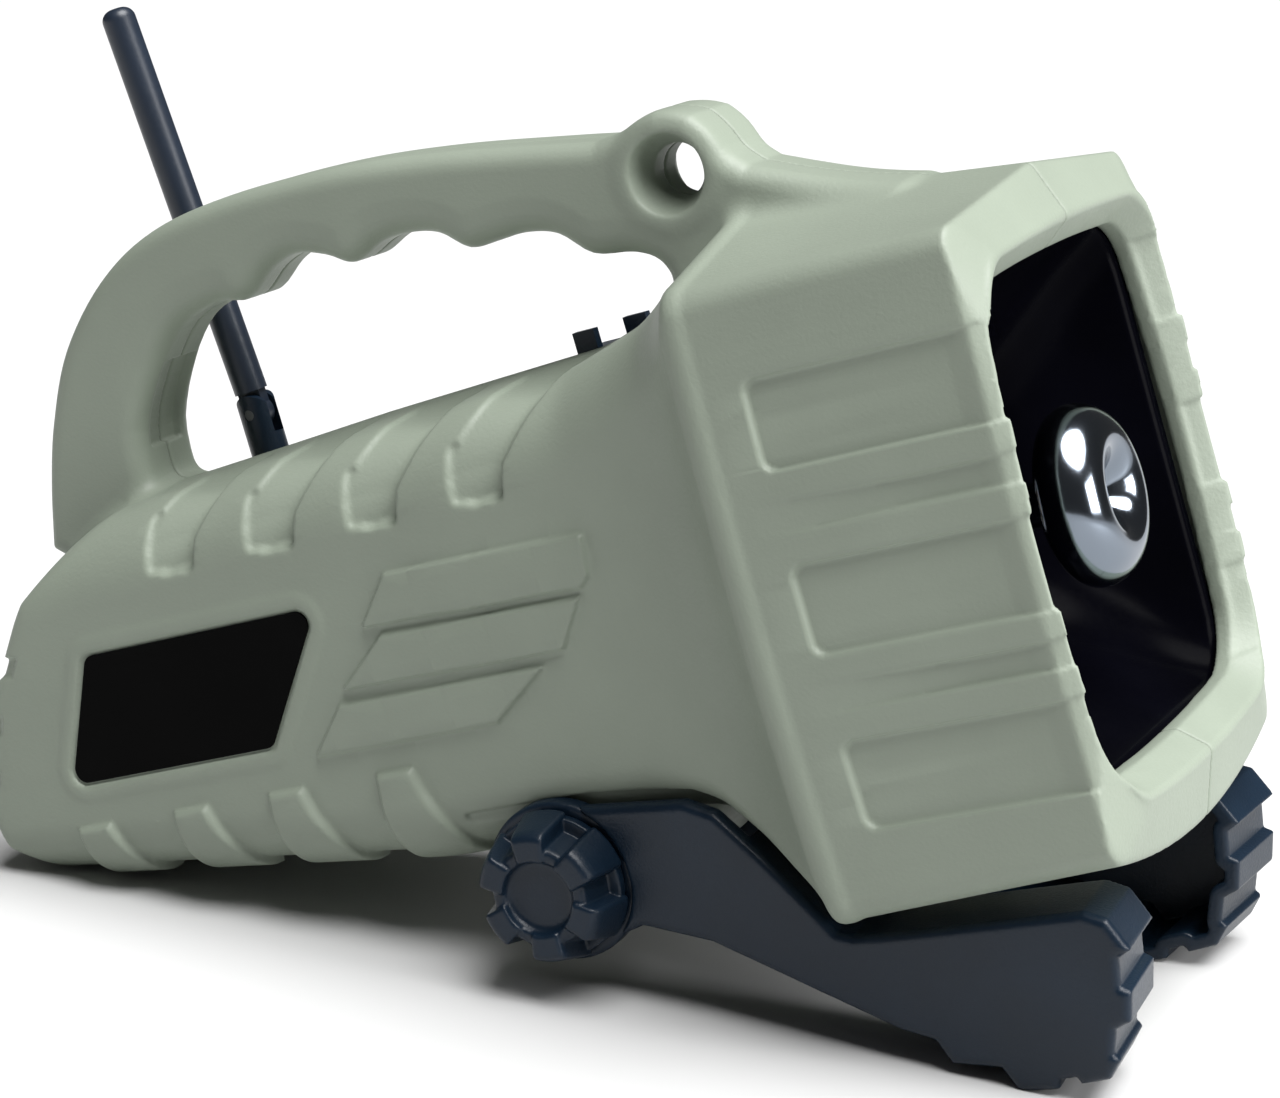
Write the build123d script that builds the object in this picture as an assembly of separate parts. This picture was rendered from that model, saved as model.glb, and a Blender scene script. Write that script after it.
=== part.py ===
"""Electronic game caller: a clamshell sound unit with a horn, carry handle, antenna and two folding legs.

Modelled level, with the horn's mouth towards +X, then tipped nose up onto its feet and rear pads.
Everything is in millimetres. Right is -Y. Each piece is written to parts/NAME.step.
"""
import math
import os
from build123d import *

# ---- driving dimensions -------------------------------------------------------------------------
PITCH = 17.7                 # nose-up tilt of the standing unit, degrees
GROUND = -106.5              # height of the ground in the tipped frame; feet and rear pads are flat there
WALL = 2.6                   # moulded wall of the case
GAP = 0.3                    # clearance between pieces that move past each other
RELIEF = 1.2                 # depth of panels and grooves, and height of bars and pads

HORN_HALF = 52.5             # half width of the horn housing at its corners
HORN_BULGE = 3.0             # how far its sides bow out past the corners
HORN_TOP = 60.3              # corner heights of the housing above and below the horn's axis
HORN_BOTTOM = -60.2
HORN_BACK = -60.0            # rear end of the straight part of the housing
CREST = 4.4                  # the rim stands this far in front of the housing's corners
MOUTH_HALF_Y = 45.5          # opening of the mouth
MOUTH_HALF_Z = 48.5
MOUTH_BOW = 4.6              # how far the sides of the mouth bow out past its corners
LIP_BACK = -5.0              # rear face of the rim, where the horn's flange seats

LEG_AXIS = (-121.8, -48.6)   # x and z of the pivot of both legs
LEG_SPLAY = 5.5              # the legs open outwards towards the front, degrees
LEG_WIDTH = 21.5             # plate and flange together
LEG_WALL = 3.0
HUB_RADIUS = 16.0
HUB_INNER = 34.6             # inner and outer faces of the legs' hubs, from the middle
HUB_OUTER = 39.0
BOSS_RADIUS = 13.0
BOSS_END = 33.2
AXLE_RADIUS = 3.0
RUNNING_FIT = 0.05
KNOB_OUTER = 50.4            # outer face of the clamp knobs, from the middle
KNOB_DISH = 2.6              # depth of the round dish in the face
KNOB_FLOOR = 1.8             # and of the floor between it and the axle's end
KNOB_LOBES = 6
KNOB_CORE = 12.4
LOBE_RADIUS = 4.8
LOBE_CIRCLE = 11.3
WASHER_RADIUS = 8.0

HANDLE_HALF = 11.5
LUG_CENTRE = (-69.5, 81.5)
LUG_RADIUS = 12.0
LUG_HOLE = 5.5
LUG_FUNNEL = 8.5
LUG_HALF = 11.0

ANTENNA_PIVOT = (-199.0, 22.0, 54.0)
ANTENNA_RADIUS = 3.75
ANTENNA_LENGTH = 94.0
ANTENNA_LEAN = 3.4           # the raised mast leans back, degrees
FORK_RADIUS = 4.3            # post that holds the mast's pivot
TONGUE = 3.0                 # thickness of the mast's tongue between the ears of the post
SEAT_BOTTOM = 40.5           # height of the floor of the antenna's seat in the roof
SEAT_RADIUS = 6.4
PIVOT_PIN = 1.2
CLIP_ENDS = (-114.0, -101.5)
PRONG = 2.4

SIDE_AT_ZERO = 41.2          # half width of the body, carried on to x = 0
SIDE_SLOPE = 0.0425          # and how fast it narrows towards the rear
SIDE_ANGLE = math.degrees(math.atan(SIDE_SLOPE))

DRIVER_SEAT = -60.0          # rear end of the bell, where the driver is screwed on
DRIVER_BACK = -67.0          # rear face of the driver's front plate
DRIVER_RADIUS = 25.0
GASKET = 0.8                 # thickness of the ring between the bell and the driver
BOLT_CIRCLE = 19.5           # radius of the circle of the driver's screws
BOLT_ANGLES = (45, 135, 225, 315)
BOLT_RADIUS = 1.3
BELL_WALL = 2.2
STEM_RADIUS = 5.0            # stem of the reflector in the horn
VANE = (14.0, 1.8, 10.0)     # length, thickness and height of the vanes that hold the stem
CELL_RADIUS = 7.1
CELL_LENGTH = 49.5
CELL_OFFSET = 7.8            # from the middle of the holder to the middle of a cell
BOARD_THICK = 1.6
BOARD_INSET = 4.0            # from the board's edges to its posts
POST_RADIUS = 3.0
LEAD_RADIUS = 0.9
LEAD_SPREAD = 8.0            # from the middle to each lead

# x, half width, half height and corner radius of the inside of the horn
BELL = [
    (LIP_BACK - 0.1, MOUTH_HALF_Y, MOUTH_HALF_Z, 8.0), (-14.0, 40.0, 42.5, 12.0),
    (-28.0, 29.0, 30.0, 16.0), (-44.0, 19.5, 19.8, 16.0), (DRIVER_SEAT, 15.0, 15.0, 14.8),
]
# x and radius of the dimpled dome
DOME = [
    (-12.0, 0), (-12.0, 11.0), (-9.5, 16.0), (-6.0, 18.2), (-2.5, 17.4), (0.3, 13.6),
    (1.2, 9.0), (0.6, 5.0), (-0.8, 0),
]
# x and radius of the formed diaphragm and of the magnet with its voice coil gap
DIAPHRAGM = [
    (DRIVER_BACK, 24.0), (-69.0, 24.0), (-69.0, 14.0), (-70.8, 13.6), (-70.8, 13.0), (-68.6, 13.0),
    (-67.6, 8.0), (-67.2, 0), (-66.8, 0), (-67.2, 8.0), (-67.8, 11.8), (DRIVER_BACK, 12.0),
]
MAGNET = [
    (-88.0, 0), (-88.0, 24.0), (-69.0, 24.0), (-69.0, 14.4), (-72.0, 14.4), (-72.0, 12.4),
    (-69.6, 12.4), (-69.6, 0),
]
DRIVER_CAP = [(-94.0, 0), (-94.0, 18.0), (-88.0, 21.0), (-88.0, 0)]

# x, half width, side top, ridge, side bottom, keel, bow of the sides, top radius, bottom radius
HOUSING = [
    (0.0, HORN_HALF, HORN_TOP, 65.2, HORN_BOTTOM, -67.0, HORN_BULGE, 4.0, 4.0),
    (HORN_BACK, HORN_HALF, HORN_TOP, 73.0, HORN_BOTTOM - 2.8, -66.2, HORN_BULGE, 4.0, 4.0),
]
BODY = [
    (HORN_BACK, HORN_HALF - 0.6, HORN_TOP - 0.6, 72.4, HORN_BOTTOM - 2.2, -65.6, HORN_BULGE, 4.0, 4.0),
    (-66.0, 46.0, 57.5, 66.0, -57.6, -54.5, 1.0, 9.0, 5.0),
    (-75.0, 41.0, 54.0, 58.5, -46.8, -43.6, 0.4, 13.0, 5.0),
    (-83.0, 39.4, 51.6, 55.4, -40.6, -40.4, 0.3, 15.0, 9.0),
    (-98.0, 37.0, 48.0, 51.0, -40.5, -41.0, 0.2, 17.0, 13.0),
    (-153.0, 34.7, 46.0, 48.7, -41.0, -41.4, 0.2, 17.0, 13.0),
    (-231.0, 31.4, 41.5, 43.7, -33.0, -33.4, 0.2, 16.0, 13.0),
    (-268.0, 29.8, 39.0, 41.0, -29.2, -29.6, 0.2, 16.0, 13.0),
]
REAR_PROFILE = [
    (20, 90), (-215, 90), (-217, 45), (-225, 39.5), (-239, 30), (-254.5, 10),
    (-263.5, -11), (-263, -23), (-252, -35), (-245, -90), (20, -90),
]
PAD_CENTRES = [-235.0, -208.5, -183.0, -155.0]
GROOVE_FEET = [-197.0, -170.5, -144.5, -118.5]
PANEL_CENTRES = [33.5, -2.0, -36.5]      # heights of the recessed panels in the horn's sides
PANEL_HEIGHT = 18.0
CHANNEL_CENTRES = [16.0, -19.0]          # heights of the shallow channels between them
LABEL_OUTLINE = [(-224.6, 16.3), (-162.2, 16.3), (-183.2, -11.6), (-238.4, -11.6)]
LABEL_DEPTH = 0.8
BARS = [
    [(-143.3, 19.8), (-95.6, 19.2), (-96.5, 11.0), (-99.0, 8.9), (-152.0, 10.0)],
    [(-148.2, 7.6), (-100.4, 6.9), (-107.0, -2.5), (-161.0, -1.9)],
    [(-163.0, -4.9), (-113.0, -5.3), (-127.0, -14.6), (-172.5, -14.6)],
]
HANDLE_OUTER = [
    (-241, 38), (-236.5, 52), (-231, 65), (-222, 79.5), (-208, 91.8), (-192, 98.9), (-171.3, 101.5),
    (-145.7, 101.1), (-121.8, 98.4), (-96.7, 93.9), (-84, 91.4),
]
LUG_RIDGE = [(-57.5, 83.5), (-53.0, 79.0), (-47.0, 76.4), (-34.0, 71.0), (-24.0, 67.0)]
OPENING_TOP = [
    (-210, 45), (-208.5, 58), (-201, 69.5), (-192, 78), (-181.5, 80.5), (-174.0, 79.6),
    (-166.5, 84.3), (-159.5, 86.0), (-152.5, 84.0), (-146.5, 81.0), (-139, 83.6), (-132, 83.9),
    (-125, 82.2), (-119.0, 77.6), (-112.5, 77.6), (-105.5, 77.6), (-98.5, 75.6), (-92.0, 70.0),
    (-83.0, 68.2), (-77.5, 65.0), (-75.5, 59.0), (-78.0, 53.0), (-90.0, 45.0),
]
LEG_TOP = [
    (-113, -34.4), (-88.5, -36.4), (-82, -39.6), (-74, -49.8), (-66, -61.2), (-62.6, -66.4), (-59, -67.6),
    (-53, -67.9), (-46, -68.1), (-9.7, -68.5), (-5.3, -70.6),
]
LEG_TREAD = [
    (-2.3, -77.0), (-5.1, -78.2), (-6.1, -83.6), (-4.3, -84.8), (-6.1, -90.8), (-9.5, -91.8),
    (-11.3, -96.6), (-10.3, -97.8), (-13.5, -101.4), (-19.6, -101.8), (-20.4, -100.3), (-23.6, -100.5),
    (-24.6, -102.4), (-33, -102.0), (-35.4, -97.0), (-45.6, -95.2), (-47.8, -90.2), (-54.6, -87.4),
]
LEG_BOTTOM = [(-91, -65.3), (-106, -60.2)]
WELL = [     # the roof of the leg's well, just above the leg's top line, and the inside of its wall
    (-142, -32.4), (-112, -32.4), (-88.0, -35.2), (-81.2, -38.6), (-73.2, -48.9), (-65.2, -59.1),
    (-61.5, -63.4), (-61.5, -90), (-142, -90),
]
WELL_BACK = [
    (-146, -29.5), (-111, -29.5), (-86.8, -32.2), (-78.6, -36.6), (-70.4, -46.9), (-62.4, -57.1),
    (-58.0, -62.0), (-58.0, -90), (-146, -90),
]
SCREW_SPOTS = [   # x, z, length of the tube in each half, tube radius
    (-52.0, 51.0, 51.4, 4.0), (-52.0, -48.0, 51.4, 4.0), (-108.0, 38.0, 34.6, 4.0),
    (-112.0, -24.0, 35.4, 4.0), (-237.0, 14.0, 30.0, 4.0), (-247.0, -16.0, 29.5, 4.0),
    (-222.0, 62.0, 10.0, 3.8), (-88.0, 82.0, 10.0, 3.8),
]
SCREW_BORE = 1.3
SCREW_HEAD = 2.7
SCREW_SEAT = 4.0             # how far the heads sit below the ends of their tubes
HEAD_HEIGHT = 2.0

DOOR = (-225.0, -153.0, 19.0)            # rear edge, front edge, half width
DOOR_THICK = 2.2
DOOR_HINGE_X = -150.6
HINGE_RADIUS = 1.7
HINGE_PIN = 0.8
PANEL_CENTRE = (-258.6, 0.4)             # middle of the rear control panel: x and z
PANEL_TILT = 23.2                        # its face looks up by this much, degrees
PANEL_SIZE = (44.0, 18.0, 2.0)


# ---- helpers ------------------------------------------------------------------------------------
def across(x):
    """Plane across the unit at x: local x runs along +Y and local y along +Z."""
    return Plane(origin=(x, 0, 0), x_dir=(0, 1, 0), z_dir=(1, 0, 0))


def section(x, half, top, ridge, bottom, keel, bow, top_radius, bottom_radius, grow=0.0):
    """Outline of the case across x, moved outwards by grow: bowed sides, a low roof and a bowed floor."""
    half = half + grow
    top, ridge = top + grow, ridge + grow
    bottom, keel = bottom - grow, keel - grow
    middle = (top + bottom) / 2
    edges = [
        ThreePointArc((half, bottom), (half + bow, middle), (half, top)),
        Line((half, top), (0, ridge)),
        Line((0, ridge), (-half, top)),
        ThreePointArc((-half, top), (-half - bow, middle), (-half, bottom)),
        ThreePointArc((-half, bottom), (0, keel), (half, bottom)),
    ]
    face = make_face(edges)
    corners = [v for v in face.vertices() if abs(v.X) > 1]
    face = fillet([v for v in corners if v.Y > middle], max(top_radius + grow, 0.8))
    corners = [v for v in face.vertices() if abs(v.X) > 1 and abs(v.Y - bottom) < 0.01]
    face = fillet(corners, max(bottom_radius + grow, 0.8))
    return across(x) * face


def skin(stations, grow=0.0):
    """Solid through the stations, moved outwards by grow."""
    return loft([section(*station, grow=grow) for station in stations], ruled=True)


def side_slab(points, half, start=0.0):
    """Prism with an outline in x and z, from start to half on the left and the same on the right."""
    face = Plane.XZ * make_face(Polyline(*points, close=True))
    if start == 0.0:
        return extrude(face, amount=half, both=True)
    left = Pos(0, start, 0) * extrude(face, amount=-(half - start))
    return left + mirror(left, about=Plane.XZ)


def tube(x, z, radius, start, end):
    """Cylinder along Y from start to end."""
    return Pos(x, (start + end) / 2, z) * Rot(90, 0, 0) * Cylinder(radius, abs(end - start))


def rod(radius, start, end, y=0.0, z=0.0):
    """Cylinder along X from start to end."""
    return Pos((start + end) / 2, y, z) * Rot(0, 90, 0) * Cylinder(radius, abs(end - start))


def rounded(x, half_y, half_z, radius, centre_z=0.0):
    """Rounded rectangle across the unit at x."""
    return across(x) * Pos(0, centre_z) * RectangleRounded(2 * half_y, 2 * half_z, radius)


def turned(points):
    """Solid of revolution about the horn's axis from points of x and radius."""
    face = Plane.XZ * make_face(Polyline(*points, close=True))
    return revolve(face, axis=Axis.X)


def side_plane(right=True):
    """Plane of the body's flat side, facing out, with local x forwards."""
    sign = -1 if right else 1
    origin = (0, sign * SIDE_AT_ZERO, 0)
    forward = (1, sign * SIDE_SLOPE, 0)
    out = (-SIDE_SLOPE, sign, 0)
    return Plane(origin=origin, x_dir=forward, z_dir=out)


def on_side(points, height, sink, right=True, radius=0.0):
    """Raised or sunk shape on the flat side, with points of x and z."""
    plane = side_plane(right)
    sign = 1 if right else -1
    local = [(x / math.cos(math.radians(SIDE_ANGLE)), sign * z) for x, z in points]
    face = make_face(Polyline(*local, close=True))
    if radius:
        face = fillet(face.vertices(), radius)
    return extrude(plane.offset(-sink) * face, amount=height + sink)


def both(build, *values):
    """The same shape on the right and on the left."""
    return build(*values, right=True) + build(*values, right=False)


def half(shape, right):
    """The part of a shape on one side of the middle plane."""
    reach = -100.0 if right else 100.0
    return shape & Pos(-130, reach, 20) * Box(400, 200, 400)


# ---- the case -----------------------------------------------------------------------------------
def rear_limit(grow):
    face = make_face(Polyline(*REAR_PROFILE, close=True))
    face = offset(face, amount=grow, kind=Kind.INTERSECTION) if grow else face
    return extrude(Plane.XZ * face, amount=90, both=True)


def body_skin(grow=0.0):
    return skin(BODY, grow) & rear_limit(grow)


def rim():
    """The rim: rises from the housing's corners to a crest and falls back into the mouth."""
    outer = section(*HOUSING[0])
    crest = section(CREST, MOUTH_HALF_Y + 3.5, MOUTH_HALF_Z + 3.4, MOUTH_HALF_Z + 5.8,
                    -MOUTH_HALF_Z - 2.0, -MOUTH_HALF_Z - 5.6, MOUTH_BOW, 8.0, 11.0)
    return loft([outer, crest], ruled=True)


def mouth_section(x, grow=0.0):
    """Bowed outline of the mouth across x."""
    return section(x, MOUTH_HALF_Y, MOUTH_HALF_Z - 1.5, MOUTH_HALF_Z, -MOUTH_HALF_Z + 2.0, -MOUTH_HALF_Z,
                   MOUTH_BOW, 8.0, 11.0, grow)


def mouth_cut():
    """The opening of the mouth with its inner bevel."""
    straight = loft([mouth_section(LIP_BACK - 1), mouth_section(-1.5)], ruled=True)
    flare = loft([mouth_section(-1.5), mouth_section(CREST + 1.2, 5.6)], ruled=True)
    return straight + flare


def handle_ring():
    """Carry handle and the ridge that carries its lug: an outline in x and z, all of one width."""
    outer_edge = Spline(*[Vector(x, z) for x, z in HANDLE_OUTER])
    lug_edge = Polyline((-84, 91.4), (-77, 92.0), (-69.5, 93.5), (-62.0, 91.0), *LUG_RIDGE, (-24, 55),
                        (-60, 30), (-225, 25), (-241, 38))
    return extrude(Plane.XZ * make_face([outer_edge, lug_edge]), amount=HANDLE_HALF, both=True)


def hand_opening():
    """The space for the fingers, above the top of the body."""
    return side_slab(OPENING_TOP, HANDLE_HALF + 1)


def leg_well():
    """Room beside the neck for the arms of the legs."""
    return side_slab(WELL, 70, BOSS_END + 0.1)


def lug():
    x, z = LUG_CENTRE
    return tube(x, z, LUG_RADIUS, -LUG_HALF, LUG_HALF)


def lug_bore():
    x, z = LUG_CENTRE
    bore = tube(x, z, LUG_HOLE, -30, 30)
    depth = 6.0
    for sign in (-1, 1):
        cone = Cone(LUG_HOLE, LUG_FUNNEL + 1, depth + 1)
        cone = Rot(-90 * sign, 0, 0) * cone
        bore += Pos(x, sign * (LUG_HALF - depth / 2 + 0.5), z) * cone
    return bore


def panels():
    """Recessed panels and channels in the sides of the horn, opening to the front."""
    shapes = []
    for centre in PANEL_CENTRES:
        low = centre - PANEL_HEIGHT / 2
        high = centre + PANEL_HEIGHT / 2
        points = [(-46, low + 3), (-43, low), (3, low), (3, high), (-43, high), (-46, high - 3)]
        shapes.append(side_slab(points, 70, HORN_HALF - 3))
    for centre in CHANNEL_CENTRES:
        points = [(-46, centre - 2.2), (3, centre - 3.0), (3, centre + 3.0), (-46, centre + 2.2)]
        shapes.append(side_slab(points, 70, HORN_HALF - 3))
    return sum(shapes[1:], shapes[0]) - stretched_core()


def stretched_core():
    """The housing less the depth of the panels, long enough to pass both of its ends."""
    front = (8.0,) + HOUSING[0][1:]
    back = (HORN_BACK - 8.0,) + HOUSING[1][1:]
    return loft([section(*front, grow=-RELIEF), section(*back, grow=-RELIEF)], ruled=True)


def shoulder_grooves():
    """Finger grooves over both top shoulders of the body."""
    shapes = []
    for foot in GROOVE_FEET:
        points = [(foot - 6, 31.5), (foot - 2, 28.5), (foot + 5, 28.5), (foot + 10, 31.0),
                  (foot + 26, 62.0), (foot + 12, 62.0)]
        shapes.append(side_slab(points, 60, HANDLE_HALF + 6))
    return sum(shapes[1:], shapes[0]) - body_skin(-RELIEF)


def bottom_pads():
    """Tapered pads on both lower edges of the body; the rear pair carries the unit's tail."""
    shapes = []
    for centre in PAD_CENTRES:
        points = [(centre - 5.5, -22), (centre + 5.5, -22), (centre + 12.5, -42), (centre + 12.5, -60),
                  (centre - 6.5, -60)]
        shapes.append(side_slab(points, 60, 16.0))
    return (sum(shapes[1:], shapes[0]) & body_skin(RELIEF)) - body_skin(-1.0)


def door_line(x):
    """Height of the body's underside at x, between the last stations but two and but one."""
    x0, x1 = BODY[-3][0], BODY[-2][0]
    z0, z1 = BODY[-3][5], BODY[-2][5]
    return z0 + (z1 - z0) * (x - x0) / (x1 - x0)


def door_slab(rear, front, half_width, low, high):
    """Plate that follows the underside, from low to high above it."""
    points = [(rear, door_line(rear) + low), (front, door_line(front) + low),
              (front, door_line(front) + high), (rear, door_line(rear) + high)]
    return side_slab(points, half_width)


def panel_plane(depth=0.0):
    """Plane of the rear panel's face, facing back and up, moved in by depth."""
    tilt = math.radians(PANEL_TILT)
    out = Vector(-math.cos(tilt), 0, math.sin(tilt))
    origin = Vector(PANEL_CENTRE[0], 0, PANEL_CENTRE[1]) - out * depth
    return Plane(origin=origin, x_dir=(0, -1, 0), z_dir=out)


def panel_prism(width, height, top, bottom, radius):
    face = RectangleRounded(width, height, radius)
    return extrude(panel_plane(bottom) * face, amount=bottom - top)


def case():
    outer = skin(HOUSING) + body_skin() + rim()
    outer += handle_ring() - hand_opening()
    outer += lug()
    x, z = LEG_AXIS
    outer -= leg_well()
    outer += tube(x, z, BOSS_RADIUS, -BOSS_END, BOSS_END)
    outer -= panels()
    outer -= shoulder_grooves()
    outer += bottom_pads()
    outer -= ground()
    for points in BARS:
        outer += both(on_side, points, 1.0, 1.2)
    for right in (True, False):
        outer -= on_side(LABEL_OUTLINE, 3.0, LABEL_DEPTH, right, 3.0)
    inner = loft([section(LIP_BACK, *HOUSING[0][1:], grow=-WALL),
                  section(HORN_BACK - 0.5, *HOUSING[1][1:], grow=-WALL)], ruled=True)
    inner += inner_body()
    inner -= tube(x, z, BOSS_RADIUS, -60, 60)
    inner -= antenna_seat(SEAT_RADIUS + WALL, SEAT_BOTTOM - 6.5)
    shell = outer - inner
    shell -= antenna_seat(SEAT_RADIUS + RUNNING_FIT, SEAT_BOTTOM)
    shell -= mouth_cut()
    shell -= handle_cavity()
    shell -= lug_bore()
    shell -= tube(x, z, AXLE_RADIUS + 0.01, -60, 60)
    rear, front, width = DOOR
    shell -= door_slab(rear - 0.6, DOOR_HINGE_X + 2.6, width + 0.5, -6, 8)
    for sign in (-1, 1):
        knuckle = tube(DOOR_HINGE_X, hinge_height(), HINGE_RADIUS, sign * 14.6, sign * width)
        shell += knuckle + (door_slab(DOOR_HINGE_X, DOOR_HINGE_X + 3.0, 19.6, 0.2, 2.4) & knuckle_box(sign))
    shell -= tube(DOOR_HINGE_X, hinge_height(), HINGE_PIN + 0.01, -40, 40)
    width, height, depth = PANEL_SIZE
    shell -= panel_prism(width + 0.2, height + 0.2, -3.0, depth, 3.1)
    shell -= panel_prism(width - 6, height - 5, -3.0, 9.0, 2.0)
    return shell


def antenna_seat(radius, bottom):
    """Upright cylinder below the antenna's pivot, from bottom to past the top of the body."""
    x, y, z = ANTENNA_PIVOT
    return Pos(x, y, (bottom + z) / 2) * Cylinder(radius, z - bottom)


def knuckle_box(sign):
    return Pos(DOOR_HINGE_X + 1.2, sign * 16.8, hinge_height()) * Box(6, 4.4, 8)


def hinge_height():
    return door_line(DOOR_HINGE_X) + HINGE_RADIUS


def inner_body():
    """The hollow of the neck and body."""
    stations = [(BODY[0][0] + 0.1,) + BODY[0][1:]] + BODY[1:]
    hollow = skin(stations, -WALL) & rear_limit(-WALL)
    return hollow - side_slab(WELL_BACK, 70, BOSS_END - WALL)


def handle_cavity():
    """The hollow inside the grip, clear of the lug."""
    grip = offset(make_face(Polyline(*HANDLE_OUTER, (-84, 30), (-225, 30), close=True)), amount=-3.0)
    hole = offset(make_face(Polyline(*OPENING_TOP, close=True)), amount=3.0)
    cavity = extrude(Plane.XZ * (grip - hole), amount=HANDLE_HALF - 3.0, both=True)
    cavity -= tube(*LUG_CENTRE, LUG_RADIUS + 2, -60, 60)
    return cavity & Pos(-150, 0, 90) * Box(170, 60, 80)


def screw_tubes(right):
    """Tubes for the case screws, with a through hole on the left and a pilot hole on the right."""
    shapes = []
    for x, z, length, radius in SCREW_SPOTS:
        end = -length if right else length
        shapes.append(tube(x, z, radius, 0, end))
    return shapes


def ground():
    """Everything below the surface that the unit stands on, in the level frame."""
    return Rot(0, PITCH, 0) * Pos(-110, 0, GROUND - 50) * Box(500, 200, 100)


def case_half(shell, right):
    piece = half(shell, right)
    for shape in screw_tubes(right):
        piece += shape
    for x, z, length, radius in SCREW_SPOTS:
        if right:
            piece -= tube(x, z, SCREW_BORE, 1, -(length - 3))
        else:
            piece -= tube(x, z, SCREW_BORE + 0.4, -1, length + 4)
            piece -= tube(x, z, SCREW_HEAD + GAP, length - SCREW_SEAT, 80)
    return piece


def case_screws():
    screws = []
    for x, z, length, radius in SCREW_SPOTS:
        seat = length - SCREW_SEAT
        head = tube(x, z, SCREW_HEAD, seat, seat + HEAD_HEIGHT)
        shank = tube(x, z, SCREW_BORE, seat, -(length * 0.25 + 2))
        slot = Pos(x, seat + HEAD_HEIGHT, z) * (Box(3.2, 1.6, 0.7) + Box(0.7, 1.6, 3.2))
        screws.append(head + shank - slot)
    return screws


# ---- horn and driver ----------------------------------------------------------------------------
def bell_solid(grow):
    """Solid through the stations of the horn's inside, moved outwards by grow."""
    faces = []
    for x, half_y, half_z, radius in BELL:
        faces.append(rounded(x, half_y + grow, half_z + grow, radius + grow))
    return loft(faces, ruled=False)


def horn_bell():
    flange = extrude(section(LIP_BACK - 3.1, *HOUSING[0][1:], grow=-WALL - GAP), amount=3.0)
    seat = rod(24.0, DRIVER_SEAT, DRIVER_SEAT + 3.5)
    bell = (bell_solid(BELL_WALL) & rod(120, DRIVER_SEAT, LIP_BACK - 0.1)) + flange + seat
    bell -= bell_solid(0)
    return bell - bolts(BOLT_RADIUS, DRIVER_SEAT - 1, DRIVER_SEAT + 5)


def bolts(radius, start, end):
    """The four screws of the driver, or the holes for them."""
    spots = [Rot(angle, 0, 0) * Pos(0, BOLT_CIRCLE, 0) * rod(radius, start, end) for angle in BOLT_ANGLES]
    return sum(spots[1:], spots[0])


def phase_plug():
    """Reflector in the mouth: a dimpled dome on a stem, held at the throat by three vanes."""
    plug = turned(DOME) + rod(STEM_RADIUS, DRIVER_SEAT + 0.2, DOME[0][0] + 1.0)
    for angle in (90, 210, 330):
        vane = Pos(DRIVER_SEAT + 0.2 + VANE[0] / 2, 0, STEM_RADIUS - 0.4 + VANE[2] / 2) * Box(*VANE)
        plug += Rot(angle, 0, 0) * vane
    return plug


def driver_front():
    front = DRIVER_SEAT - GASKET
    plate = rod(DRIVER_RADIUS, DRIVER_BACK, front) - rod(12.0, DRIVER_BACK - 2, front + 2)
    return plate - bolts(BOLT_RADIUS + 0.4, DRIVER_BACK - 3, DRIVER_SEAT + 2)


def driver_gasket():
    ring = rod(24.0, DRIVER_SEAT - GASKET, DRIVER_SEAT) - rod(14.9, DRIVER_SEAT - 2, DRIVER_SEAT + 2)
    return ring - bolts(BOLT_RADIUS + 0.5, DRIVER_BACK - 3, DRIVER_SEAT + 2)


def driver_diaphragm():
    return turned(DIAPHRAGM)


def driver_magnet():
    return turned(MAGNET)


def driver_cap():
    """Rear cap of the driver with its two solder tags."""
    cap = turned(DRIVER_CAP)
    for side in (-1, 1):
        cap += Pos(DRIVER_CAP[0][0] - 1.0, side * LEAD_SPREAD, LEAD_SPREAD) * Box(3.0, 0.8, 4.0)
    return cap


# ---- inside the body ----------------------------------------------------------------------------
BOARD = (-226.0, -122.0, 22.0, 27.0)     # rear, front, half width, height
BLOCKS = [   # chips and sockets: x, y, length, width, height
    (-205, 8, 14, 14, 2.0), (-180, -9, 18, 12, 3.0), (-150, 10, 10, 10, 2.0), (-212, -12, 12, 8, 5.0),
]
CANS = [(-160, -12), (-148, -12), (-136, -12), (-136, 2)]
HOLDER = (-231.0, -121.0, 17.5, -29.0, 5.0)   # rear, front, half width, low, high


def main_board():
    rear, front, half_width, z = BOARD
    board = Pos((rear + front) / 2, 0, z + BOARD_THICK / 2) * Box(front - rear, 2 * half_width, BOARD_THICK)
    for x, y in post_spots():
        board -= Pos(x, y, z) * Cylinder(POST_RADIUS / 2 + 0.1, 8)
    return board


def post_spots():
    rear, front, half_width, z = BOARD
    sides = (-half_width + BOARD_INSET, half_width - BOARD_INSET)
    return [(x, y) for x in (rear + BOARD_INSET, front - BOARD_INSET) for y in sides]


def board_parts():
    z = BOARD[3] + BOARD_THICK
    parts = []
    for x, y, length, width, height in BLOCKS:
        parts.append(Pos(x, y, z + height / 2) * Box(length, width, height))
    for x, y in CANS:
        parts.append(Pos(x, y, z + 4.5) * Cylinder(4.0, 9.0))
    return parts


def board_posts():
    z = BOARD[3]
    posts = []
    for x, y in post_spots():
        peg = Pos(x, y, z + 1.0) * Cylinder(POST_RADIUS / 2, 2.0)
        posts.append(Pos(x, y, z - 10.0) * Cylinder(POST_RADIUS, 20.0) + peg)
    return posts


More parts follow.
